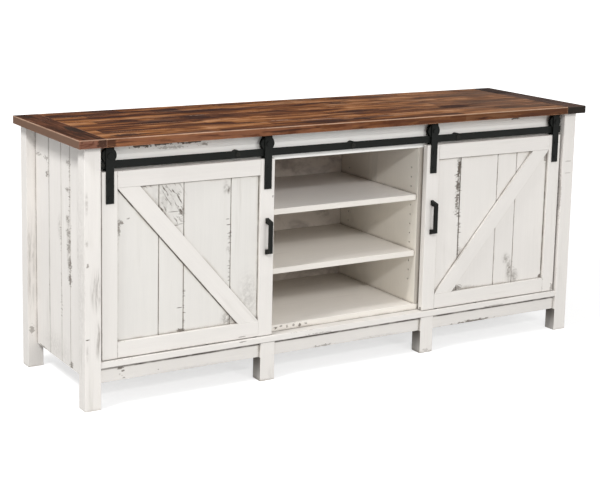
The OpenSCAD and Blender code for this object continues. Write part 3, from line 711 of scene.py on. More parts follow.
@dataclass(frozen=True)
class Face:
    """A flat face that carries marks: its axis, where it lies, and how deep marks reach."""

    axis: int
    place: float
    depth: float

    def rubs(self, *rows: tuple[float | Mark, ...]) -> tuple[Rub, ...]:
        """Put marks on the face.

        Args:
            *rows: For each mark its middle, first along Y on a side and X elsewhere, then
                along Y on the top and Z elsewhere; its reach both ways; its strength; and
                either how torn its rim is or how else it looks.

        Returns:
            The marks.
        """
        marks = []
        for *numbers, strength, look in rows:
            middle, reach = numbers[:2], numbers[2:]
            middle.insert(self.axis, self.place)
            reach.insert(self.axis, self.depth)
            kind = {"mark" if isinstance(look, Mark) else "ragged": look}
            marks.append(Rub(tuple(middle), tuple(reach), strength, **kind))
        return tuple(marks)


@dataclass(frozen=True)
class Seam:
    """A straight dark line on a flat face, where one board meets another: glaze in most joints,
    and painted shade under the sill and on the doors.
    """

    start: Point
    end: Point
    width: float = 0.0022
    strength: float = 0.8
    facing: Point = (0.0, 1.0, 0.0)

    def mask(self, f: Finish) -> Socket:
        """Wire the line into a material.

        Args:
            f: The material in the making.

        Returns:
            The line's mask.
        """
        run = Vector(self.end) - Vector(self.start)
        ahead = run.normalized()
        across = Vector(self.facing).cross(ahead)
        found = f.use(seam_effect(), Vector=f.place, Start=self.start, Ahead=tuple(ahead),
                      Across=tuple(across), Length=run.length, Width=self.width)
        return f.times(found["Mask"], self.strength)


@dataclass(frozen=True)
class Ticks:
    """A worn stretch of one joint between upright boards."""

    place: float
    low: float
    high: float
    width: float = 0.006
    strength: float = 0.8
    seed: float = 0.0


@dataclass(frozen=True)
class Grooves:
    """V grooves between upright boards, which hold glaze and lose paint along their lips."""

    axis: str
    places: tuple[float, ...]
    ticks: tuple[Ticks, ...] = ()
    width: float = 0.0018
    least: float = 0.18
    most: float = 0.50
    lip_width: float = 0.004

    def mask(self, f: Finish, patch: Socket) -> Socket:
        """Wire the grooves into a material.

        Args:
            f: The material in the making.
            patch: Where wear gathers.

        Returns:
            The thin line in each groove, and the paint lost beside it.
        """
        across = {"X": f.x, "Y": f.y}[self.axis]
        nearest: Wire = 1.0
        lost: Wire = 0.0
        for number, place in enumerate(self.places):
            nearest = f.maths("MINIMUM", nearest, f.size(f.less(across, place)))
            found = f.use(tick_effect(), Across=across, Along=f.z, Place=place, Low=0.0,
                          High=1.0, Width=self.lip_width, Seed=float(number))["Mask"]
            lost = f.most(lost, f.times(found, patch))
        for tick in self.ticks:
            found = f.use(tick_effect(), Across=across, Along=f.z, Place=tick.place,
                          Low=tick.low, High=tick.high, Width=tick.width, Seed=tick.seed)["Mask"]
            lost = f.most(lost, f.times(found, tick.strength))
        line = f.use(groove_effect(), Vector=f.place, Gap=nearest, Width=self.width,
                     Least=self.least, Most=self.most)["Mask"]
        return f.most(line, lost)


@dataclass(frozen=True)
class Paint:
    """Warm white paint, brushed on, glazed brown in its corners and rubbed through to wood, with
    shade painted in where set.
    """

    name: str
    grain: Grain
    coat: Colour = linear(235, 231, 226)
    haze: Colour = linear(206, 202, 194)
    glaze: Colour = linear(150, 136, 120)
    grime: Colour = linear(70, 62, 54)
    wood: Colour = linear(104, 94, 83)
    wear: float = 1.0
    corner: float = 1.0
    rubs: tuple[Rub, ...] = ()
    seams: tuple[Seam, ...] = ()
    grooves: Grooves | None = None
    grime_below: float | None = None
    grime_within: float = 1.0
    front_y: float | None = None
    front_coat: Colour = linear(238, 233, 225)
    front_fade: tuple[float, float] = (0.0008, 0.0002)
    dim_back: float = 0.0
    wood_share: float = 0.9
    grime_share: float = 0.45
    sheen: float = 0.2
    roughness: tuple[float, float] = (0.55, 0.78)
    raised: float = 0.0004

    def material(self) -> bpy.types.Material:
        """Build the material.

        Returns:
            The finished material.
        """
        f = Finish(self.name, self.grain)
        fibre = f.use(fibre_effect(), Vector=f.along, Seed=float(len(self.name)))
        brushed = f.use(brush_effect(), Vector=f.place, Along=f.along, Fine=fibre["Fine"],
                        Streak=fibre["Streak"])
        gathered = f.use(glaze_effect(), Vector=f.place, Cloud=brushed["Cloud"],
                         Share=self.corner)
        colour = f.shade(f.mix(brushed["Thin"], self.coats(f), self.haze), brushed["Tone"])
        colour = f.mix(gathered["Near"], colour, self.glaze)
        worn = self.worn(f, fibre["Streak"])
        colour = f.mix(f.times(worn, self.wood_share), colour, self.wood)
        colour = f.mix(f.ramp(worn, 0.72, 1.0, 0.0, self.grime_share), colour, self.grime)
        # Grime in inside corners, and painted shade along some seams and under the cabinet.
        colour = f.mix(self.grimy(f, gathered["Deep"]), colour, self.grime)
        # Painted shade: the glaze colour darkens the board towards the back of a bay.
        if self.dim_back:
            back_shade = f.use(dim_effect(), Vector=f.place, Share=self.dim_back)["Mask"]
            colour = f.mix(back_shade, colour, self.glaze)
        f.surface(Base_Color=colour, Specular_IOR_Level=self.sheen,
                  Roughness=f.ramp(worn, 0.0, 1.0, *self.roughness))
        f.relief(f.less(f.times(fibre["Fine"], 0.5), worn), self.raised)
        return f.material

    def coats(self, f: Finish) -> Wire:
        """Choose the coat, which may differ on a board's front edge.

        Args:
            f: The material in the making.

        Returns:
            The coat's colour.
        """
        if self.front_y is None:
            return self.coat
        inner, outer = self.front_fade
        front = f.ramp(f.y, self.front_y + inner, self.front_y + outer)
        return f.mix(front, self.coat, self.front_coat)

    def worn(self, f: Finish, streak: Socket) -> Socket:
        """Find where the paint is gone.

        Args:
            f: The material in the making.
            streak: The wood's long streaks.

        Returns:
            Edges, old scratches, grooves and the named marks.
        """
        wear = f.use(wear_effect(), Vector=f.place, Streak=streak)
        worn = wear["Worn"]
        if self.grooves:
            worn = f.most(worn, self.grooves.mask(f, wear["Patch"]))
        worn = f.times(worn, self.wear)
        for rub in self.rubs:
            worn = f.most(worn, rub.mask(f))
        return worn

    def grimy(self, f: Finish, deep: Socket) -> Socket:
        """Find where grime lies and where shade is painted.

        Args:
            f: The material in the making.
            deep: The grime right in inside corners.

        Returns:
            That grime, with the seams, which hold glaze and painted shade, and the painted shade
            on the sides of the feet.
        """
        for seam in self.seams:
            deep = f.most(deep, seam.mask(f))
        if self.grime_below is not None:
            found = f.use(underneath_effect(), Vector=f.place, Below=self.grime_below,
                          Within=self.grime_within)
            deep = f.most(deep, found["Mask"])
        return deep


@dataclass(frozen=True)
class Planks:
    """Weathered brown boards of mixed strips, with near-black streaks, a low sheen, a painted
    sheen towards +X and a painted highlight round the rim.
    """

    name: str
    grain: Grain
    light: Colour = linear(178, 130, 92)
    orange: Colour = linear(144, 93, 53)
    middle: Colour = linear(104, 64, 42)
    dark: Colour = linear(56, 38, 33)
    grey: Colour = linear(118, 96, 84)
    edge: Colour = linear(190, 146, 116)
    pale: Colour = linear(190, 164, 146)
    stave_width: float = 0.0477
    stave_length: float = 0.40
    shift: float = 0.2385
    seed: float = 1.0
    rubs: tuple[Rub, ...] = ()
    pales: tuple[Rub, ...] = ()
    far_tone: Colour | None = None
    far_share: float = 0.27
    face_fade: tuple[float, float] = (0.0024, 0.0008)
    front_tone: Colour = linear(166, 112, 82)
    front_far_tone: Colour | None = None
    front_share: float = 0.5
    front_dark: Colour = linear(78, 42, 28)
    front_light: Colour = linear(176, 118, 72)
    front_burnt: float = 0.80
    mottled: float = 1.0
    end_tone: Colour | None = None
    end_share: float = 0.8
    rim: Colour = linear(214, 180, 154)
    rim_share: float = 0.62
    burnt_share: float = 0.94
    joint_share: float = 0.45
    sheen: float = 0.003
    roughness: tuple[float, float] = (0.66, 0.50)
    raised: float = 0.0006

    def material(self) -> bpy.types.Material:
        """Build the material.

        Returns:
            The finished material.
        """
        f = Finish(self.name, self.grain)
        fibre = f.use(fibre_effect(), Vector=f.along, Seed=self.seed)
        moved = f.vector("ADD", f.along, (0.0, self.shift, 0.0))
        stave = f.use(stave_effect(), Vector=moved, Width=self.stave_width,
                      Length=self.stave_length, Seed=self.seed)
        figure = f.use(figure_effect(), Vector=f.along, Strip=stave["Tone"],
                       Fine=fibre["Fine"], Streak=fibre["Streak"])
        burnt = figure["Burnt"]
        for rub in self.rubs:
            burnt = f.most(burnt, rub.mask(f))
        colour = self.stained(f, figure)
        colour = f.mix(f.times(burnt, self.burnt_share), colour, self.dark)
        colour = f.mix(f.times(stave["Joint"], self.joint_share), colour, self.dark)
        colour = f.mix(figure["Scratch"], colour, self.edge)
        for pale in self.pales:
            colour = f.mix(pale.mask(f), colour, self.pale)
        colour = self.edged(f, colour, burnt)
        f.surface(Base_Color=colour, Specular_IOR_Level=self.sheen,
                  Roughness=f.ramp(figure["Tone"], 0.0, 1.0, *self.roughness))
        f.relief(f.less(f.times(fibre["Streak"], 0.6), stave["Joint"]), self.raised)
        return f.material

    def stained(self, f: Finish, figure: bpy.types.NodeOutputs) -> Socket:
        """Colour the wood from its tone.

        Args:
            f: The material in the making.
            figure: The planks' figure.

        Returns:
            The wood's colour before streaks, joints and wear.
        """
        tone = figure["Tone"]
        colour = f.mix(f.ramp(tone, 0.08, 0.42), self.dark, self.middle)
        colour = f.mix(f.ramp(tone, 0.42, 0.68), colour, self.orange)
        colour = f.mix(f.ramp(tone, 0.70, 1.0), colour, self.light)
        colour = f.mix(figure["Grey"], colour, self.grey)
        # Painted sheen: the boards turn greyer towards +X.
        if self.far_tone:
            far = f.ramp(f.x, 0.05, 0.75, 0.0, self.far_share)
            colour = f.mix(far, colour, self.far_tone)
        return colour

    def edged(self, f: Finish, colour: Socket, burnt: Socket) -> Socket:
        """Give the outer faces their tones, rub the arrises, and paint a highlight round the rim.

        Args:
            f: The material in the making.
            colour: The colour so far.
            burnt: The near-black streaks, which show on the front edge too.

        Returns:
            The colour with its edges.
        """
        low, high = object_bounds()
        inner, outer = self.face_fade
        front = f.ramp(f.y, low.y + inner, low.y + outer, 0.0, self.front_share)
        front = f.times(front, f.less(1.0, f.times(burnt, self.front_burnt)))
        tone: Wire = self.front_tone
        if self.front_far_tone:
            tone = f.mix(f.ramp(f.x, -0.5, 0.5), tone, self.front_far_tone)
        mottle = f.use(mottle_effect(), Vector=f.place, Share=self.mottled)
        tone = f.mix(mottle["Dark"], tone, self.front_dark)
        tone = f.mix(mottle["Light"], tone, self.front_light)
        colour = f.mix(front, colour, tone)
        if self.end_tone:
            end = f.ramp(f.size(f.x), high.x - inner, high.x - outer, 0.0, self.end_share)
            colour = f.mix(end, colour, self.end_tone)
        # The rim gets a pale painted highlight; the arrises are rubbed.
        rubbed = f.use(arris_effect(), Vector=f.place, Front=low.y, End=high.x, Top=high.z,
                       Share=self.rim_share)
        return f.mix(rubbed["Rim"], f.mix(rubbed["Arris"], colour, self.edge), self.rim)


@dataclass(frozen=True)
class Steel:
    """Matt black powder-coated steel, lightly pebbled and rubbed at its edges."""

    name: str = "black_steel"
    coat: Colour = linear(20, 22, 20)
    rubbed: Colour = linear(58, 58, 55)
    sheen: float = 0.15
    roughness: tuple[float, float] = (0.50, 0.64)
    raised: float = 0.00012

    def material(self) -> bpy.types.Material:
        """Build the material.

        Returns:
            The finished material.
        """
        f = Finish(self.name)
        powder = f.use(powder_effect(), Vector=f.place)
        f.surface(Base_Color=f.mix(powder["Rubbed"], self.coat, self.rubbed),
                  Specular_IOR_Level=self.sheen, Metallic=0.0,
                  Roughness=f.ramp(powder["Cloud"], 0.3, 0.7, *self.roughness))
        f.relief(powder["Pebble"], self.raised)
        return f.material


@dataclass(frozen=True)
class Plated:
    """Zinc-plated shelf pins."""

    name: str = "pin_steel"
    low_tint: Colour = linear(150, 150, 148)
    high_tint: Colour = linear(188, 188, 185)
    roughness: tuple[float, float] = (0.28, 0.42)

    def material(self) -> bpy.types.Material:
        """Build the material.

        Returns:
            The finished material.
        """
        f = Finish(self.name)
        brushed = f.noise(f.place, (40.0, 900.0, 900.0), 2.0, 0.5)
        tint = f.mix(f.ramp(brushed, 0.3, 0.7), self.low_tint, self.high_tint)
        f.surface(Base_Color=tint, Metallic=1.0,
                  Roughness=f.ramp(brushed, 0.3, 0.7, *self.roughness))
        return f.material


@dataclass(frozen=True)
class BackBoard:
    """Thin back panel: painted towards the bays, bare brown hardboard behind."""

    name: str
    split_y: float
    coat: Colour = linear(222, 212, 202)
    haze: Colour = linear(182, 172, 164)
    bare: Colour = linear(150, 118, 84)
    speck: Colour = linear(118, 88, 58)
    faded: Colour = linear(170, 138, 102)
    blur: float = 0.0004
    roughness: tuple[float, float] = (0.55, 0.72)
    raised: float = 0.0002

    def material(self) -> bpy.types.Material:
        """Build the material.

        Returns:
            The finished material.
        """
        f = Finish(self.name, Grain.UPRIGHT)
        felt = f.noise(f.place, 420.0, 4.0, 0.7)
        bare = f.mix(f.ramp(felt, 0.35, 0.72), self.bare, self.speck)
        bare = f.mix(f.ramp(f.noise(f.place, 6.0, 3.0, 0.5), 0.3, 0.75, 0.0, 0.25), bare,
                     self.faded)
        fibre = f.use(fibre_effect(), Vector=f.along, Seed=4.0)
        patch = f.noise(f.place, (9.0, 9.0, 16.0), 4.0, 0.62, 0.5)
        coat = f.shade(f.mix(f.ramp(patch, 0.40, 0.62), self.coat, self.haze),
                       f.ramp(fibre["Fine"], 0.25, 0.75, 0.96, 1.02))
        behind = f.ramp(f.y, self.split_y - self.blur, self.split_y + self.blur)
        f.surface(Base_Color=f.mix(behind, coat, bare),
                  Roughness=f.ramp(felt, 0.2, 0.8, *self.roughness))
        f.relief(felt, self.raised)
        return f.material


def dress(material: bpy.types.Material, *nodes: str) -> None:
    """Give CAD nodes a material.

    Args:
        material: The material.
        *nodes: Names of the nodes.
    """
    for name in nodes:
        for material_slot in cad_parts[name].material_slots:
            material_slot.material = material
        LOG.info("%s: %s", name, material.name)


# ------------------------------------------------------------------ sub-assemblies


TOP_FACE = Face(2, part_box("top_planks")[1].z, 0.05)
LEFT_FACE = Face(0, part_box("side_panel_left")[0].x, 0.03)
RIGHT_FACE = Face(0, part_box("side_panel_right")[1].x, 0.03)
POST_FRONT = Face(1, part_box("post_front_left")[0].y, 0.004)
LEG_FRONT = Face(1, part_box("middle_leg_left")[0].y, 0.01)
HEADER_FRONT = Face(1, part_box("header")[0].y, 0.02)
APRON_FRONT = Face(1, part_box("aprons")[0].y, 0.01)
SILL_FRONT = Face(1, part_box("front_sill")[0].y, 0.01)
BOARD_FRONT = Face(1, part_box("bottom_board")[0].y, 0.012)
PANEL_FRONT = Face(1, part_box("left_door_panel")[0].y, 0.01)
DOOR_FRONT = Face(1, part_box("left_outer_stile")[0].y, 0.01)


@dataclass
class PlankTop:
    """Plank top between two cross boards."""

    streaks: tuple[Rub, ...] = TOP_FACE.rubs(
        (-0.588, 0.023, 0.046, 0.034, 0.80, 0.45),
        (-0.385, 0.010, 0.090, 0.050, 0.95, 0.30),
        (-0.470, 0.030, 0.060, 0.020, 0.75, 0.45),
        (-0.690, -0.198, 0.080, 0.034, 0.95, 0.25),
        (-0.098, -0.186, 0.150, 0.024, 1.00, 0.10),
        (0.040, -0.192, 0.060, 0.030, 1.00, 0.15),
        (-0.170, 0.207, 0.170, 0.022, 0.90, 0.35),
        (0.110, -0.052, 0.160, 0.022, 0.95, 0.20),
        (0.440, -0.088, 0.150, 0.060, 1.00, Mark.SMEAR),
        (0.440, -0.088, 0.112, 0.050, 1.00, 0.14),
        (0.150, 0.115, 0.044, 0.036, 0.80, 0.45),
        (0.325, -0.134, 0.060, 0.014, 1.00, Mark.SMEAR),
        (0.480, 0.100, 0.100, 0.030, 0.80, Mark.SMEAR),
        (0.660, 0.205, 0.100, 0.026, 0.90, Mark.SMEAR),
        (0.080, 0.228, 0.120, 0.010, 0.75, 0.45),
        (0.560, -0.150, 0.150, 0.028, 1.00, Mark.SMEAR),
        (0.640, 0.030, 0.120, 0.030, 1.00, Mark.SMEAR),
        (0.330, 0.070, 0.150, 0.028, 1.00, Mark.SMEAR),
    ) + (
        Rub((-0.752, -0.2385, 0.704), (0.026, 0.014, 0.024), 0.95, 0.25),
    )
    left_streaks: tuple[Rub, ...] = TOP_FACE.rubs(
        (-0.780, -0.060, 0.030, 0.105, 1.00, 0.15),
        (-0.800, -0.150, 0.020, 0.050, 0.60, 0.50),
        (-0.805, 0.200, 0.032, 0.038, 0.85, 0.45),
    ) + (
        Rub((-0.774, -0.2385, 0.704), (0.028, 0.014, 0.024), 0.95, 0.25),
    )
    pale_lines: tuple[Rub, ...] = TOP_FACE.rubs(
        (-0.070, -0.158, 0.140, 0.0045, 0.75, 0.20),
        (-0.190, -0.130, 0.050, 0.0050, 0.60, 0.30),
        (0.150, -0.170, 0.090, 0.0040, 0.45, 0.30),
        (-0.360, 0.045, 0.040, 0.0060, 0.45, 0.40),
    )

    def dress(self) -> None:
        """Stain the planks and both cross boards."""
        # The top's boards are painted greyer towards the right end: painted sheen.
        planks = Planks("top_boards", Grain.LENGTHWISE, rubs=self.streaks, pales=self.pale_lines,
                        far_tone=linear(168, 137, 116), front_far_tone=linear(82, 47, 30))
        left = Planks("left_end_board", Grain.CROSSWISE, light=linear(112, 71, 49),
                      orange=linear(93, 58, 41), middle=linear(74, 47, 35),
                      dark=linear(46, 35, 30), edge=linear(186, 146, 126), shift=0.838,
                      stave_width=0.075, seed=3.0, front_tone=linear(138, 96, 80),
                      front_share=0.75, end_tone=linear(127, 102, 87), rim_share=0.45,
                      rubs=self.left_streaks)
        right = Planks("right_end_board", Grain.CROSSWISE, light=linear(98, 76, 68),
                       orange=linear(80, 62, 55), middle=linear(64, 51, 46),
                       dark=linear(42, 36, 34), edge=linear(96, 78, 70), shift=-0.763,
                       stave_width=0.075, seed=6.0, front_tone=linear(48, 45, 42),
                       front_share=0.95, mottled=0.0, end_tone=linear(58, 50, 46),
                       rim=linear(92, 80, 74), rim_share=0.5)
        dress(planks.material(), "top_planks")
        dress(left.material(), "top_end_left")
        dress(right.material(), "top_end_right")


@dataclass
class Carcass:
    """Painted posts, legs, panels, boards and shelves."""

    side_grooves: tuple[float, ...] = (0.0955, 0.0065, -0.0555, -0.1175)
    side_seam: float = 0.0905
    apron_seam_drop: float = 0.0030
    left_ticks: tuple[Ticks, ...] = (
        Ticks(0.0975, 0.545, 0.620, 0.016, 0.70, 1.0),
        Ticks(0.0100, 0.375, 0.450, 0.017, 0.62, 2.0),
        Ticks(0.0065, 0.180, 0.320, 0.011, 0.62, 2.5),
        Ticks(-0.0520, 0.520, 0.640, 0.016, 0.55, 3.0),
        Ticks(-0.0530, 0.300, 0.540, 0.018, 0.85, 4.0),
        Ticks(-0.0540, 0.290, 0.420, 0.014, 0.85, 4.5),
        Ticks(-0.1175, 0.330, 0.560, 0.010, 0.34, 5.0),
    )
    left_rubs: tuple[Rub, ...] = LEFT_FACE.rubs(
        (0.172, 0.615, 0.028, 0.008, 0.50, 0.8),
        (0.112, 0.612, 0.024, 0.010, 0.55, 0.8),
        (0.105, 0.570, 0.018, 0.012, 0.75, 0.8),
        (-0.045, 0.624, 0.022, 0.010, 0.55, 0.9),
        (-0.042, 0.552, 0.026, 0.007, 0.75, 0.8),
        (-0.040, 0.472, 0.020, 0.016, 0.72, 0.8),
        (-0.042, 0.436, 0.020, 0.014, 0.72, 0.8),
        (-0.046, 0.396, 0.018, 0.020, 0.72, 0.8),
        (-0.052, 0.352, 0.020, 0.022, 0.80, 0.8),
        (-0.054, 0.312, 0.018, 0.016, 0.80, 0.8),
        (-0.045, 0.400, 0.020, 0.130, 0.58, Mark.CLOUD),
        (0.018, 0.440, 0.020, 0.050, 0.42, Mark.CLOUD),
        (-0.112, 0.400, 0.014, 0.090, 0.40, Mark.CLOUD),
        (-0.118, 0.520, 0.018, 0.040, 0.34, Mark.CLOUD),
        (0.040, 0.100, 0.150, 0.060, 0.22, Mark.CLOUD),
        (-0.062, 0.078, 0.018, 0.012, 0.85, 0.6),
        (0.150, 0.070, 0.050, 0.005, 0.70, 0.5),
    )
    right_ticks: tuple[Ticks, ...] = (
        Ticks(0.0955, 0.200, 0.330, 0.009, 0.75, 6.0),
        Ticks(-0.0555, 0.430, 0.580, 0.010, 0.75, 7.0),
        Ticks(-0.1175, 0.150, 0.210, 0.008, 0.65, 8.0),
    )
    right_rubs: tuple[Rub, ...] = RIGHT_FACE.rubs(
        (0.040, 0.560, 0.030, 0.090, 0.34, Mark.SMEAR),
        (-0.150, 0.095, 0.040, 0.030, 0.45, Mark.SMEAR),
    )
    post_rubs: tuple[Rub, ...] = POST_FRONT.rubs(
        (-0.784, 0.320, 0.022, 0.075, 0.62, Mark.SMEAR),
        (-0.779, 0.190, 0.014, 0.070, 0.62, Mark.SMEAR),
        (-0.810, 0.550, 0.006, 0.042, 0.50, Mark.CLOUD),
        (-0.810, 0.446, 0.006, 0.020, 0.50, Mark.CLOUD),
        (-0.808, 0.388, 0.005, 0.007, 0.70, 0.6),
        (-0.809, 0.193, 0.010, 0.0030, 0.95, 0.3),
        (-0.809, 0.155, 0.006, 0.036, 0.40, Mark.CLOUD),
        (0.794, 0.541, 0.022, 0.004, 0.34, 0.2),
        (0.794, 0.504, 0.022, 0.003, 0.34, 0.2),
    ) + (
        Rub((-0.771, -0.2160, 0.115), (0.002, 0.006, 0.016), 0.70, 0.5),
        Rub((-0.816, -0.1900, 0.360), (0.004, 0.070, 0.460), 0.20, mark=Mark.CLOUD),
        Rub((-0.806, 0.1935, 0.300), (0.020, 0.004, 0.190), 0.50, mark=Mark.SMEAR),
        Rub((-0.805, 0.1935, 0.110), (0.010, 0.004, 0.020), 0.60, 0.6),
        Rub((0.771, -0.212, 0.440), (0.004, 0.012, 0.120), 0.50, 0.4),
        Rub((0.806, 0.2355, 0.420), (0.020, 0.004, 0.120), 0.40, mark=Mark.SMEAR),
    )
    leg_rubs: tuple[Rub, ...] = LEG_FRONT.rubs(
        (0.272, 0.008, 0.016, 0.007, 0.35, 0.4),
        (-0.262, 0.020, 0.014, 0.030, 0.30, Mark.SMEAR),
    )
    header_rubs: tuple[Rub, ...] = HEADER_FRONT.rubs(
        (-0.640, 0.683, 0.062, 0.0085, 1.0, 0.55),
        (-0.585, 0.684, 0.050, 0.0070, 1.0, 0.50),
        (-0.500, 0.683, 0.062, 0.0070, 1.0, 0.50),
        (-0.462, 0.675, 0.026, 0.0080, 0.7, 0.90),
        (-0.560, 0.672, 0.060, 0.0050, 0.5, 0.90),
        (0.602, 0.683, 0.026, 0.0060, 1.0, 0.4),
    )
    apron_rubs: tuple[Rub, ...] = APRON_FRONT.rubs(
        (-0.713, 0.100, 0.012, 0.0040, 0.85, 0.8),
        (-0.704, 0.092, 0.007, 0.0045, 0.80, 0.8),
        (-0.711, 0.082, 0.009, 0.0045, 0.70, 0.8),
        (-0.702, 0.073, 0.007, 0.0035, 0.80, 0.8),
        (-0.603, 0.080, 0.0035, 0.0022, 0.80, 0.3),
        (-0.500, 0.070, 0.200, 0.0080, 0.24, Mark.CLOUD),
        (0.100, 0.071, 0.120, 0.0080, 0.30, Mark.CLOUD),
        (0.450, 0.070, 0.110, 0.007, 0.85, 0.55),
        (-0.090, 0.071, 0.050, 0.005, 0.60, 0.6),
    )
    sill_rubs: tuple[Rub, ...] = SILL_FRONT.rubs(
        (-0.352, 0.1225, 0.020, 0.0022, 0.80, 0.25),
        (-0.100, 0.1130, 0.060, 0.0030, 0.45, 0.6),
        (0.520, 0.1120, 0.050, 0.0030, 0.45, 0.6),
    )
    board_rubs: tuple[Rub, ...] = BOARD_FRONT.rubs(
        (-0.231, 0.137, 0.010, 0.006, 0.85, 0.5),
        (-0.214, 0.139, 0.008, 0.004, 0.80, 0.5),
        (-0.194, 0.136, 0.005, 0.007, 0.60, 0.6),
        (-0.172, 0.137, 0.007, 0.006, 0.75, 0.5),
        (-0.152, 0.136, 0.006, 0.008, 0.85, 0.5),
        (-0.133, 0.137, 0.009, 0.005, 0.70, 0.6),
    )

    def dress(self) -> None:
        """Paint everything but the doors."""
        self.paint_feet()
        self.paint_sides()
        self.paint_rails()
        self.paint_boards()
        dress(Paint("cleat_paint", Grain.CROSSWISE).material(), "top_cleats")
        low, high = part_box("back_panel_middle")
        back = BackBoard("back_board", split_y=(low.y + high.y) / 2).material()
        dress(back, *(f"back_panel_{place}" for place in ("left", "middle", "right")))

    def paint_feet(self) -> None:
        """Paint the posts and the middle legs, with painted shade on their sides under the
        cabinet.
        """
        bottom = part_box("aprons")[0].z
        # Posts and legs get painted shade on their sides below the aprons, darkest just under the
        # cabinet.
        posts = Paint("post_paint", Grain.UPRIGHT, corner=0.4, rubs=self.post_rubs,
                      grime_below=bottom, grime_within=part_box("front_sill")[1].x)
        dress(posts.material(),
              *(f"post_{end}_{side.word}" for end in ("front", "back") for side in Side))
        legs = Paint("leg_paint", Grain.UPRIGHT, rubs=self.leg_rubs, grime_below=bottom)
        dress(legs.material(), "rear_middle_legs", *(f"middle_leg_{side.word}" for side in Side))

    def paint_sides(self) -> None:
        """Paint the side panels, with glaze in their grooves and beside the back posts."""
        marks = {Side.LEFT: (self.left_ticks, self.left_rubs),
                 Side.RIGHT: (self.right_ticks, self.right_rubs)}
        for side, (ticks, rubs) in marks.items():
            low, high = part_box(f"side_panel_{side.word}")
            face = low.x if side is Side.LEFT else high.x
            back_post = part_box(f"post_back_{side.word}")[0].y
            seams = tuple(Seam((face, y, high.z), (face, y, low.z), width=0.0045,
                               strength=strength, facing=(1.0, 0.0, 0.0))
                          for y, strength in ((back_post, 0.72), (self.side_seam, 0.24)))
            panel = Paint(f"{side.word}_side_paint", Grain.UPRIGHT, corner=0.4, rubs=rubs,
                          seams=seams,
                          grooves=Grooves("Y", self.side_grooves, ticks, width=0.0038,
                                          least=0.24, most=0.50))
            dress(panel.material(), f"side_panel_{side.word}")

    def paint_rails(self) -> None:
        """Paint the header, lightened as painted light, the aprons and the sill, with painted
        shade under the sill, and the rear rails.
        """
        # The header's coat and haze are lighter than the rest of the paint: painted light under
        # the top's overhang.
        header = Paint("header_paint", Grain.LENGTHWISE, coat=linear(255, 254, 250),
                       haze=linear(240, 240, 236), corner=0.15, rubs=self.header_rubs)
        dress(header.material(), "header")
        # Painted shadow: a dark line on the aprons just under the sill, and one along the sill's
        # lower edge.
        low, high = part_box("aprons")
        edge = high.z - self.apron_seam_drop
        painted_shade_under = Seam((low.x, low.y, edge), (high.x, low.y, edge), width=0.0058, strength=1.0)
        aprons = Paint("apron_paint", Grain.LENGTHWISE, rubs=self.apron_rubs, seams=(painted_shade_under,))
        dress(aprons.material(), "aprons")
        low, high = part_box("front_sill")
        sill_shade_line = Seam((low.x, low.y, low.z), (high.x, low.y, low.z), width=0.0030, strength=0.75)
        sill = Paint("sill_paint", Grain.LENGTHWISE, corner=0.4, rubs=self.sill_rubs,
                     seams=(sill_shade_line,))
        dress(sill.material(), "front_sill", "rear_top_rail", "rear_bottom_rail")

    def paint_boards(self) -> None:
        """Paint the shelves, the bottom board and the dividers, with painted shade towards the
        back of the bay.
        """
        # Each shelf's coat is lighter or darker than the others to stand in for the light it
        # gets: painted light and shade.
        for board, coat, back_shade in (("shelf_middle_upper", linear(255, 251, 245), 0.30),
                                 ("shelf_middle_lower", linear(240, 235, 228), 0.45),
                                 ("bottom_board", linear(250, 245, 238), 0.45)):
            shelf = Paint(f"{board}_paint", Grain.LENGTHWISE, coat=coat, dim_back=back_shade,
                          haze=linear(216, 209, 204), wear=0.4, corner=0.8,
                          rubs=self.board_rubs if board == "bottom_board" else (),
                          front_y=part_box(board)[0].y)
            dress(shelf.material(), board)
        inner = Paint("side_shelf_paint", Grain.LENGTHWISE, coat=linear(247, 242, 235),
                      wear=0.4, corner=0.7)
        dress(inner.material(), *(f"shelf_side_{side.word}" for side in Side))
        upright = Paint("divider_paint", Grain.UPRIGHT, coat=linear(241, 235, 224), wear=0.4,
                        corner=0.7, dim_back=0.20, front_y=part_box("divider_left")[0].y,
                        front_coat=linear(174, 167, 158))
        dress(upright.material(), *(f"divider_{side.word}" for side in Side))


@dataclass
class BarnDoor:
    """One framed and braced door."""

    side: Side
    grooves: tuple[float, ...] = (0.387, 0.528, 0.601)
    ticks: tuple[Ticks, ...] = ()
    seams: tuple[Seam, ...] = ()
    panel_rubs: tuple[Rub, ...] = ()
    frame_rubs: tuple[Rub, ...] = ()
    panel_coat: Colour = linear(235, 231, 226)

    def dress(self) -> None:
        """Paint the door's frame, brace and planks."""
        word = self.side.word
        upright = Paint(f"{word}_stile_paint", Grain.UPRIGHT, corner=0.4, rubs=self.frame_rubs)
        dress(upright.material(), f"{word}_outer_stile", f"{word}_inner_stile")
        across = Paint(f"{word}_rail_paint", Grain.LENGTHWISE, corner=0.4, rubs=self.frame_rubs)
        dress(across.material(), f"{word}_door_top_rail", f"{word}_door_bottom_rail")
        slant = Grain.FALLING if self.side is Side.LEFT else Grain.RISING
        dress(Paint(f"{word}_brace_paint", slant, corner=0.4).material(), f"{word}_brace")
        places = tuple(self.side.value * place for place in self.grooves)
        panel = Paint(f"{word}_panel_paint", Grain.UPRIGHT, coat=self.panel_coat,
                      rubs=self.panel_rubs, seams=self.seams,
                      grooves=Grooves("X", places, self.ticks, width=0.0016, least=0.10,
                                      most=0.32))
        dress(panel.material(), f"{word}_door_panel")


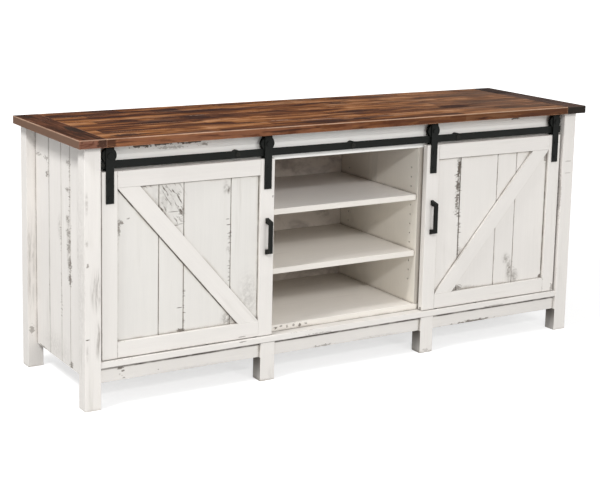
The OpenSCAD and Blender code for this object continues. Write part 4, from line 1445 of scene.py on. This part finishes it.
def left_door() -> BarnDoor:
    """Describe the left door's own marks.

    Returns:
        The left door.
    """
    y = PANEL_FRONT.place
    return BarnDoor(
        Side.LEFT,
        # The left panel's coat is a little darker than the right one's: painted shade, for how
        # the light falls on the two doors.
        panel_coat=linear(229, 226, 221),
        ticks=(
            Ticks(-0.3900, 0.290, 0.360, 0.010, 0.75, 11.0),
            Ticks(-0.3900, 0.372, 0.440, 0.009, 0.70, 14.0),
            Ticks(-0.5270, 0.167, 0.290, 0.008, 0.75, 12.0),
            Ticks(-0.5340, 0.460, 0.520, 0.015, 0.70, 13.0),
        ),
        # Dark lines along the brace, the rails and the inner stile: glaze in the joints, and in
        # part painted shade below the top rail and beside the brace.
        seams=(
            Seam((-0.7222, y, 0.5805), (-0.3653, y, 0.1725), 0.0025, 0.95),
            Seam((-0.4600, y, 0.3558), (-0.3010, y, 0.1740), 0.0030, 0.14),
            Seam((-0.7210, y, 0.5800), (-0.3010, y, 0.5800), 0.0024, 0.80),
            Seam((-0.3020, y, 0.5810), (-0.3020, y, 0.1730), 0.0036, 0.80),
            Seam((-0.7210, y, 0.1740), (-0.3010, y, 0.1740), 0.0022, 0.40),
        ),
        panel_rubs=PANEL_FRONT.rubs(
            (-0.716, 0.474, 0.008, 0.032, 0.70, 0.85),
            (-0.707, 0.489, 0.012, 0.006, 0.75, 0.80),
            (-0.688, 0.497, 0.007, 0.003, 0.70, 0.60),
            (-0.393, 0.452, 0.013, 0.0022, 0.90, 0.1),
            (-0.397, 0.468, 0.010, 0.0018, 0.80, 0.1),
            (-0.395, 0.548, 0.009, 0.0160, 1.0, Mark.CLOUD),
            (-0.394, 0.382, 0.009, 0.0140, 0.9, Mark.CLOUD),
            (-0.566, 0.525, 0.052, 0.075, 0.95, Mark.STROKES),
            (-0.640, 0.572, 0.024, 0.018, 0.80, Mark.STROKES),
            (-0.558, 0.503, 0.026, 0.0022, 0.75, 0.1),
            (-0.552, 0.466, 0.018, 0.0022, 0.80, 0.1),
            (-0.539, 0.240, 0.016, 0.0022, 0.85, 0.1),
            (-0.538, 0.177, 0.014, 0.010, 0.85, 0.6),
            (-0.392, 0.190, 0.030, 0.036, 0.90, Mark.CLOUD),
            (-0.330, 0.240, 0.050, 0.110, 0.34, Mark.CLOUD),
            (-0.404, 0.555, 0.012, 0.030, 0.50, Mark.CLOUD),
            (-0.580, 0.540, 0.060, 0.080, 0.28, Mark.CLOUD),
        ),
        frame_rubs=DOOR_FRONT.rubs(
            (-0.352, 0.135, 0.022, 0.0022, 0.75, 0.25),
            (-0.262, 0.520, 0.004, 0.006, 0.55, 0.3),
            (-0.520, 0.129, 0.200, 0.004, 0.45, 0.5),
        ),
    )


def right_door() -> BarnDoor:
    """Describe the right door's own marks.

    Returns:
        The right door.
    """
    y = PANEL_FRONT.place
    return BarnDoor(
        Side.RIGHT,
        ticks=(
            Ticks(0.3790, 0.400, 0.582, 0.018, 0.92, 21.0),
            Ticks(0.3810, 0.400, 0.582, 0.014, 0.92, 26.0),
            Ticks(0.3890, 0.275, 0.420, 0.013, 0.72, 22.0),
            Ticks(0.6010, 0.175, 0.240, 0.005, 0.50, 23.0),
        ),
        # Dark lines along the brace, the rails and the inner stile: glaze in the joints, and in
        # part painted shade below the top rail and beside the brace.
        seams=(
            Seam((0.387, y, 0.282), (0.387, y, 0.578), 0.0034, 0.80),
            Seam((0.3000, y, 0.1740), (0.6570, y, 0.5820), 0.0019, 0.72),
            Seam((0.3665, y, 0.1730), (0.7225, y, 0.5810), 0.0036, 0.46),
            Seam((0.3010, y, 0.5800), (0.7210, y, 0.5800), 0.0024, 0.70),
            Seam((0.7200, y, 0.5810), (0.7200, y, 0.1730), 0.0045, 0.95),
            Seam((0.3700, y, 0.1740), (0.7210, y, 0.1740), 0.0024, 0.42),
        ),
        panel_rubs=PANEL_FRONT.rubs(
            (0.576, 0.250, 0.022, 0.024, 0.80, Mark.CLOUD),
            (0.590, 0.212, 0.018, 0.052, 0.90, Mark.CLOUD),
            (0.610, 0.190, 0.024, 0.030, 0.85, Mark.CLOUD),
            (0.604, 0.198, 0.024, 0.030, 0.30, 0.8),
            (0.381, 0.545, 0.009, 0.044, 1.00, 0.35),
            (0.379, 0.496, 0.010, 0.026, 0.95, 0.50),
            (0.377, 0.450, 0.010, 0.030, 0.80, 0.65),
            (0.302, 0.182, 0.006, 0.010, 0.85, 0.5),
            (0.590, 0.190, 0.018, 0.040, 0.50, Mark.SMEAR),
            (0.392, 0.180, 0.026, 0.014, 0.75, 0.5),
            (0.714, 0.178, 0.012, 0.010, 0.90, 0.4),
            (0.714, 0.560, 0.008, 0.026, 0.70, 0.5),
            (0.381, 0.560, 0.010, 0.030, 0.75, Mark.CLOUD),
            (0.396, 0.290, 0.014, 0.022, 0.62, Mark.CLOUD),
            (0.430, 0.176, 0.050, 0.012, 0.45, Mark.CLOUD),
            (0.655, 0.560, 0.040, 0.030, 0.26, Mark.CLOUD),
        ),
        frame_rubs=DOOR_FRONT.rubs(
            (0.500, 0.129, 0.160, 0.003, 0.40, 0.5),
        ) + (
            Rub((0.760, DOOR_FRONT.place, 0.140), (0.010, 0.02, 0.020), 0.60, 0.6),
        ),
    )


@dataclass
class RunningGear:
    """Track, hangers, wheels, pulls and screws."""

    # The bolt heads are coated lighter than the other steel: a painted glint.
    bolts: Steel = Steel("bolt_steel", linear(36, 36, 33), linear(96, 90, 78))
    door_parts: tuple[str, ...] = ("pull", "door_screws", "axle_bolts", "outer_hanger",
                                   "inner_hanger", "outer_wheel", "inner_wheel")

    def dress(self) -> None:
        """Coat the steel."""
        black = Steel().material()
        dress(black, "track_bar", "track_standoffs", "door_guides")
        dress(self.bolts.material(), "track_bolts")
        dress(black, *(f"{side.word}_{part}" for side in Side for part in self.door_parts))
        dress(Plated().material(), "shelf_pins")


# ------------------------------------------------------------------ studio


@dataclass
class Lamp:
    """A square soft box that looks at the stand."""

    name: str
    place: Point
    size: float
    power: float
    target: Point = (0.0, 0.0, 0.35)

    def hang(self) -> None:
        """Add the lamp to the scene."""
        data = bpy.data.lights.new(self.name, "AREA")
        data.shape, data.size, data.energy = "SQUARE", self.size, self.power
        lamp = bpy.data.objects.new(self.name, data)
        lamp.location = self.place
        ahead = Vector(self.target) - Vector(self.place)
        lamp.rotation_euler = ahead.to_track_quat("-Z", "Y").to_euler()
        bpy.context.scene.collection.objects.link(lamp)


@dataclass
class Camera:
    """The camera, in front of the stand and to its left."""

    place: Point = (-2.15197, -3.43289, 1.28195)
    yaw: float = math.radians(31.415)
    pitch: float = math.radians(9.686)
    roll: float = math.radians(1.248)
    lens: float = 83.845
    sensor: float = 36.0
    shift: tuple[float, float] = (0.00255, -0.16351)
    far: float = 100.0

    def turned(self) -> Matrix:
        """Turn the camera: yaw to the right, pitch down, then roll.

        Returns:
            The camera's place and turn.
        """
        ahead = Vector((math.sin(self.yaw) * math.cos(self.pitch),
                        math.cos(self.yaw) * math.cos(self.pitch), -math.sin(self.pitch)))
        level = Vector((math.cos(self.yaw), -math.sin(self.yaw), 0.0))
        above = level.cross(ahead)
        right = level * math.cos(self.roll) + above * math.sin(self.roll)
        up = above * math.cos(self.roll) - level * math.sin(self.roll)
        turn = Matrix((right, up, -ahead)).transposed()
        return Matrix.Translation(self.place) @ turn.to_4x4()

    def stand_up(self) -> None:
        """Add the camera and make it the scene's own."""
        data = bpy.data.cameras.new("camera")
        data.lens, data.sensor_width = self.lens, self.sensor
        data.shift_x, data.shift_y = self.shift
        data.clip_end = self.far
        camera = bpy.data.objects.new("camera", data)
        camera.matrix_world = self.turned()
        bpy.context.scene.collection.objects.link(camera)
        bpy.context.scene.camera = camera


@dataclass
class Studio:
    """Pale floor, white surroundings and soft lamps."""

    ambient: float = 0.49
    floor_half: float = 30.0
    floor_colour: Colour = (0.60, 0.60, 0.60)
    near_glow: float = 0.62
    glow_from: float = 1.2
    glow_to: float = 5.0
    lamps: tuple[Lamp, ...] = (
        Lamp("key_box", (-3.02, -6.16, 4.05), 0.45, 152.0),
        Lamp("left_box", (-3.1, -0.8, 3.6), 0.8, 92.0),
        Lamp("front_box", (0.9, -6.0, 2.75), 1.2, 83.0),
    )

    def white_where_seen(self, tree: bpy.types.NodeTree) -> tuple[Wiring, Socket]:
        """Find rays that see the surroundings directly.

        Args:
            tree: The shader tree to wire in.

        Returns:
            The wiring, and a mask of those rays.
        """
        w = Wiring(tree)
        ray = w.put("ShaderNodeLightPath").outputs
        mirrored = w.most(ray["Is Glossy Ray"], ray["Is Transmission Ray"])
        return w, w.most(ray["Is Camera Ray"], mirrored)

    def light_world(self) -> None:
        """Light the stand evenly and show white behind it."""
        world = bpy.data.worlds.new("surroundings")
        world.use_nodes = True
        bpy.context.scene.world = world
        w, seen = self.white_where_seen(world.node_tree)
        background = next(n for n in world.node_tree.nodes if n.type == "BACKGROUND")
        background.inputs["Color"].default_value = (1.0, 1.0, 1.0, 1.0)
        w.feed(background.inputs["Strength"], w.ramp(seen, 0.0, 1.0, self.ambient, 1.0))

    def lay_floor(self) -> None:
        """Lay a floor that reads white and keeps the stand's shadow."""
        half = self.floor_half
        mesh = bpy.data.meshes.new("floor")
        mesh.from_pydata([(-half, -half, 0), (half, -half, 0), (half, half, 0), (-half, half, 0)],
                         [], [(0, 1, 2, 3)])
        floor = bpy.data.objects.new("floor", mesh)
        bpy.context.scene.collection.objects.link(floor)
        f = Finish("floor_white")
        _, seen = self.white_where_seen(f.tree)
        away = f.vector("LENGTH", f.place)
        glow = f.times(seen, f.ramp(away, self.glow_from, self.glow_to, self.near_glow, 1.0))
        f.surface(Base_Color=self.floor_colour, Roughness=0.9, Specular_IOR_Level=0.0,
                  Emission_Color=f.join(glow, glow, glow), Emission_Strength=1.0)
        mesh.materials.append(f.material)
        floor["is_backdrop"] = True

    def set_up(self) -> None:
        """Build the studio."""
        bpy.context.scene.view_settings.view_transform = "Standard"
        self.light_world()
        self.lay_floor()
        for lamp in self.lamps:
            lamp.hang()
        Camera().stand_up()


def main() -> None:
    """Dress the stand and set up the studio."""
    logging.basicConfig(level=logging.INFO, format="%(name)s %(message)s")
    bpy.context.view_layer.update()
    Studio().set_up()
    PlankTop().dress()
    Carcass().dress()
    left_door().dress()
    right_door().dress()
    RunningGear().dress()


if __name__ == "__main__":
    main()
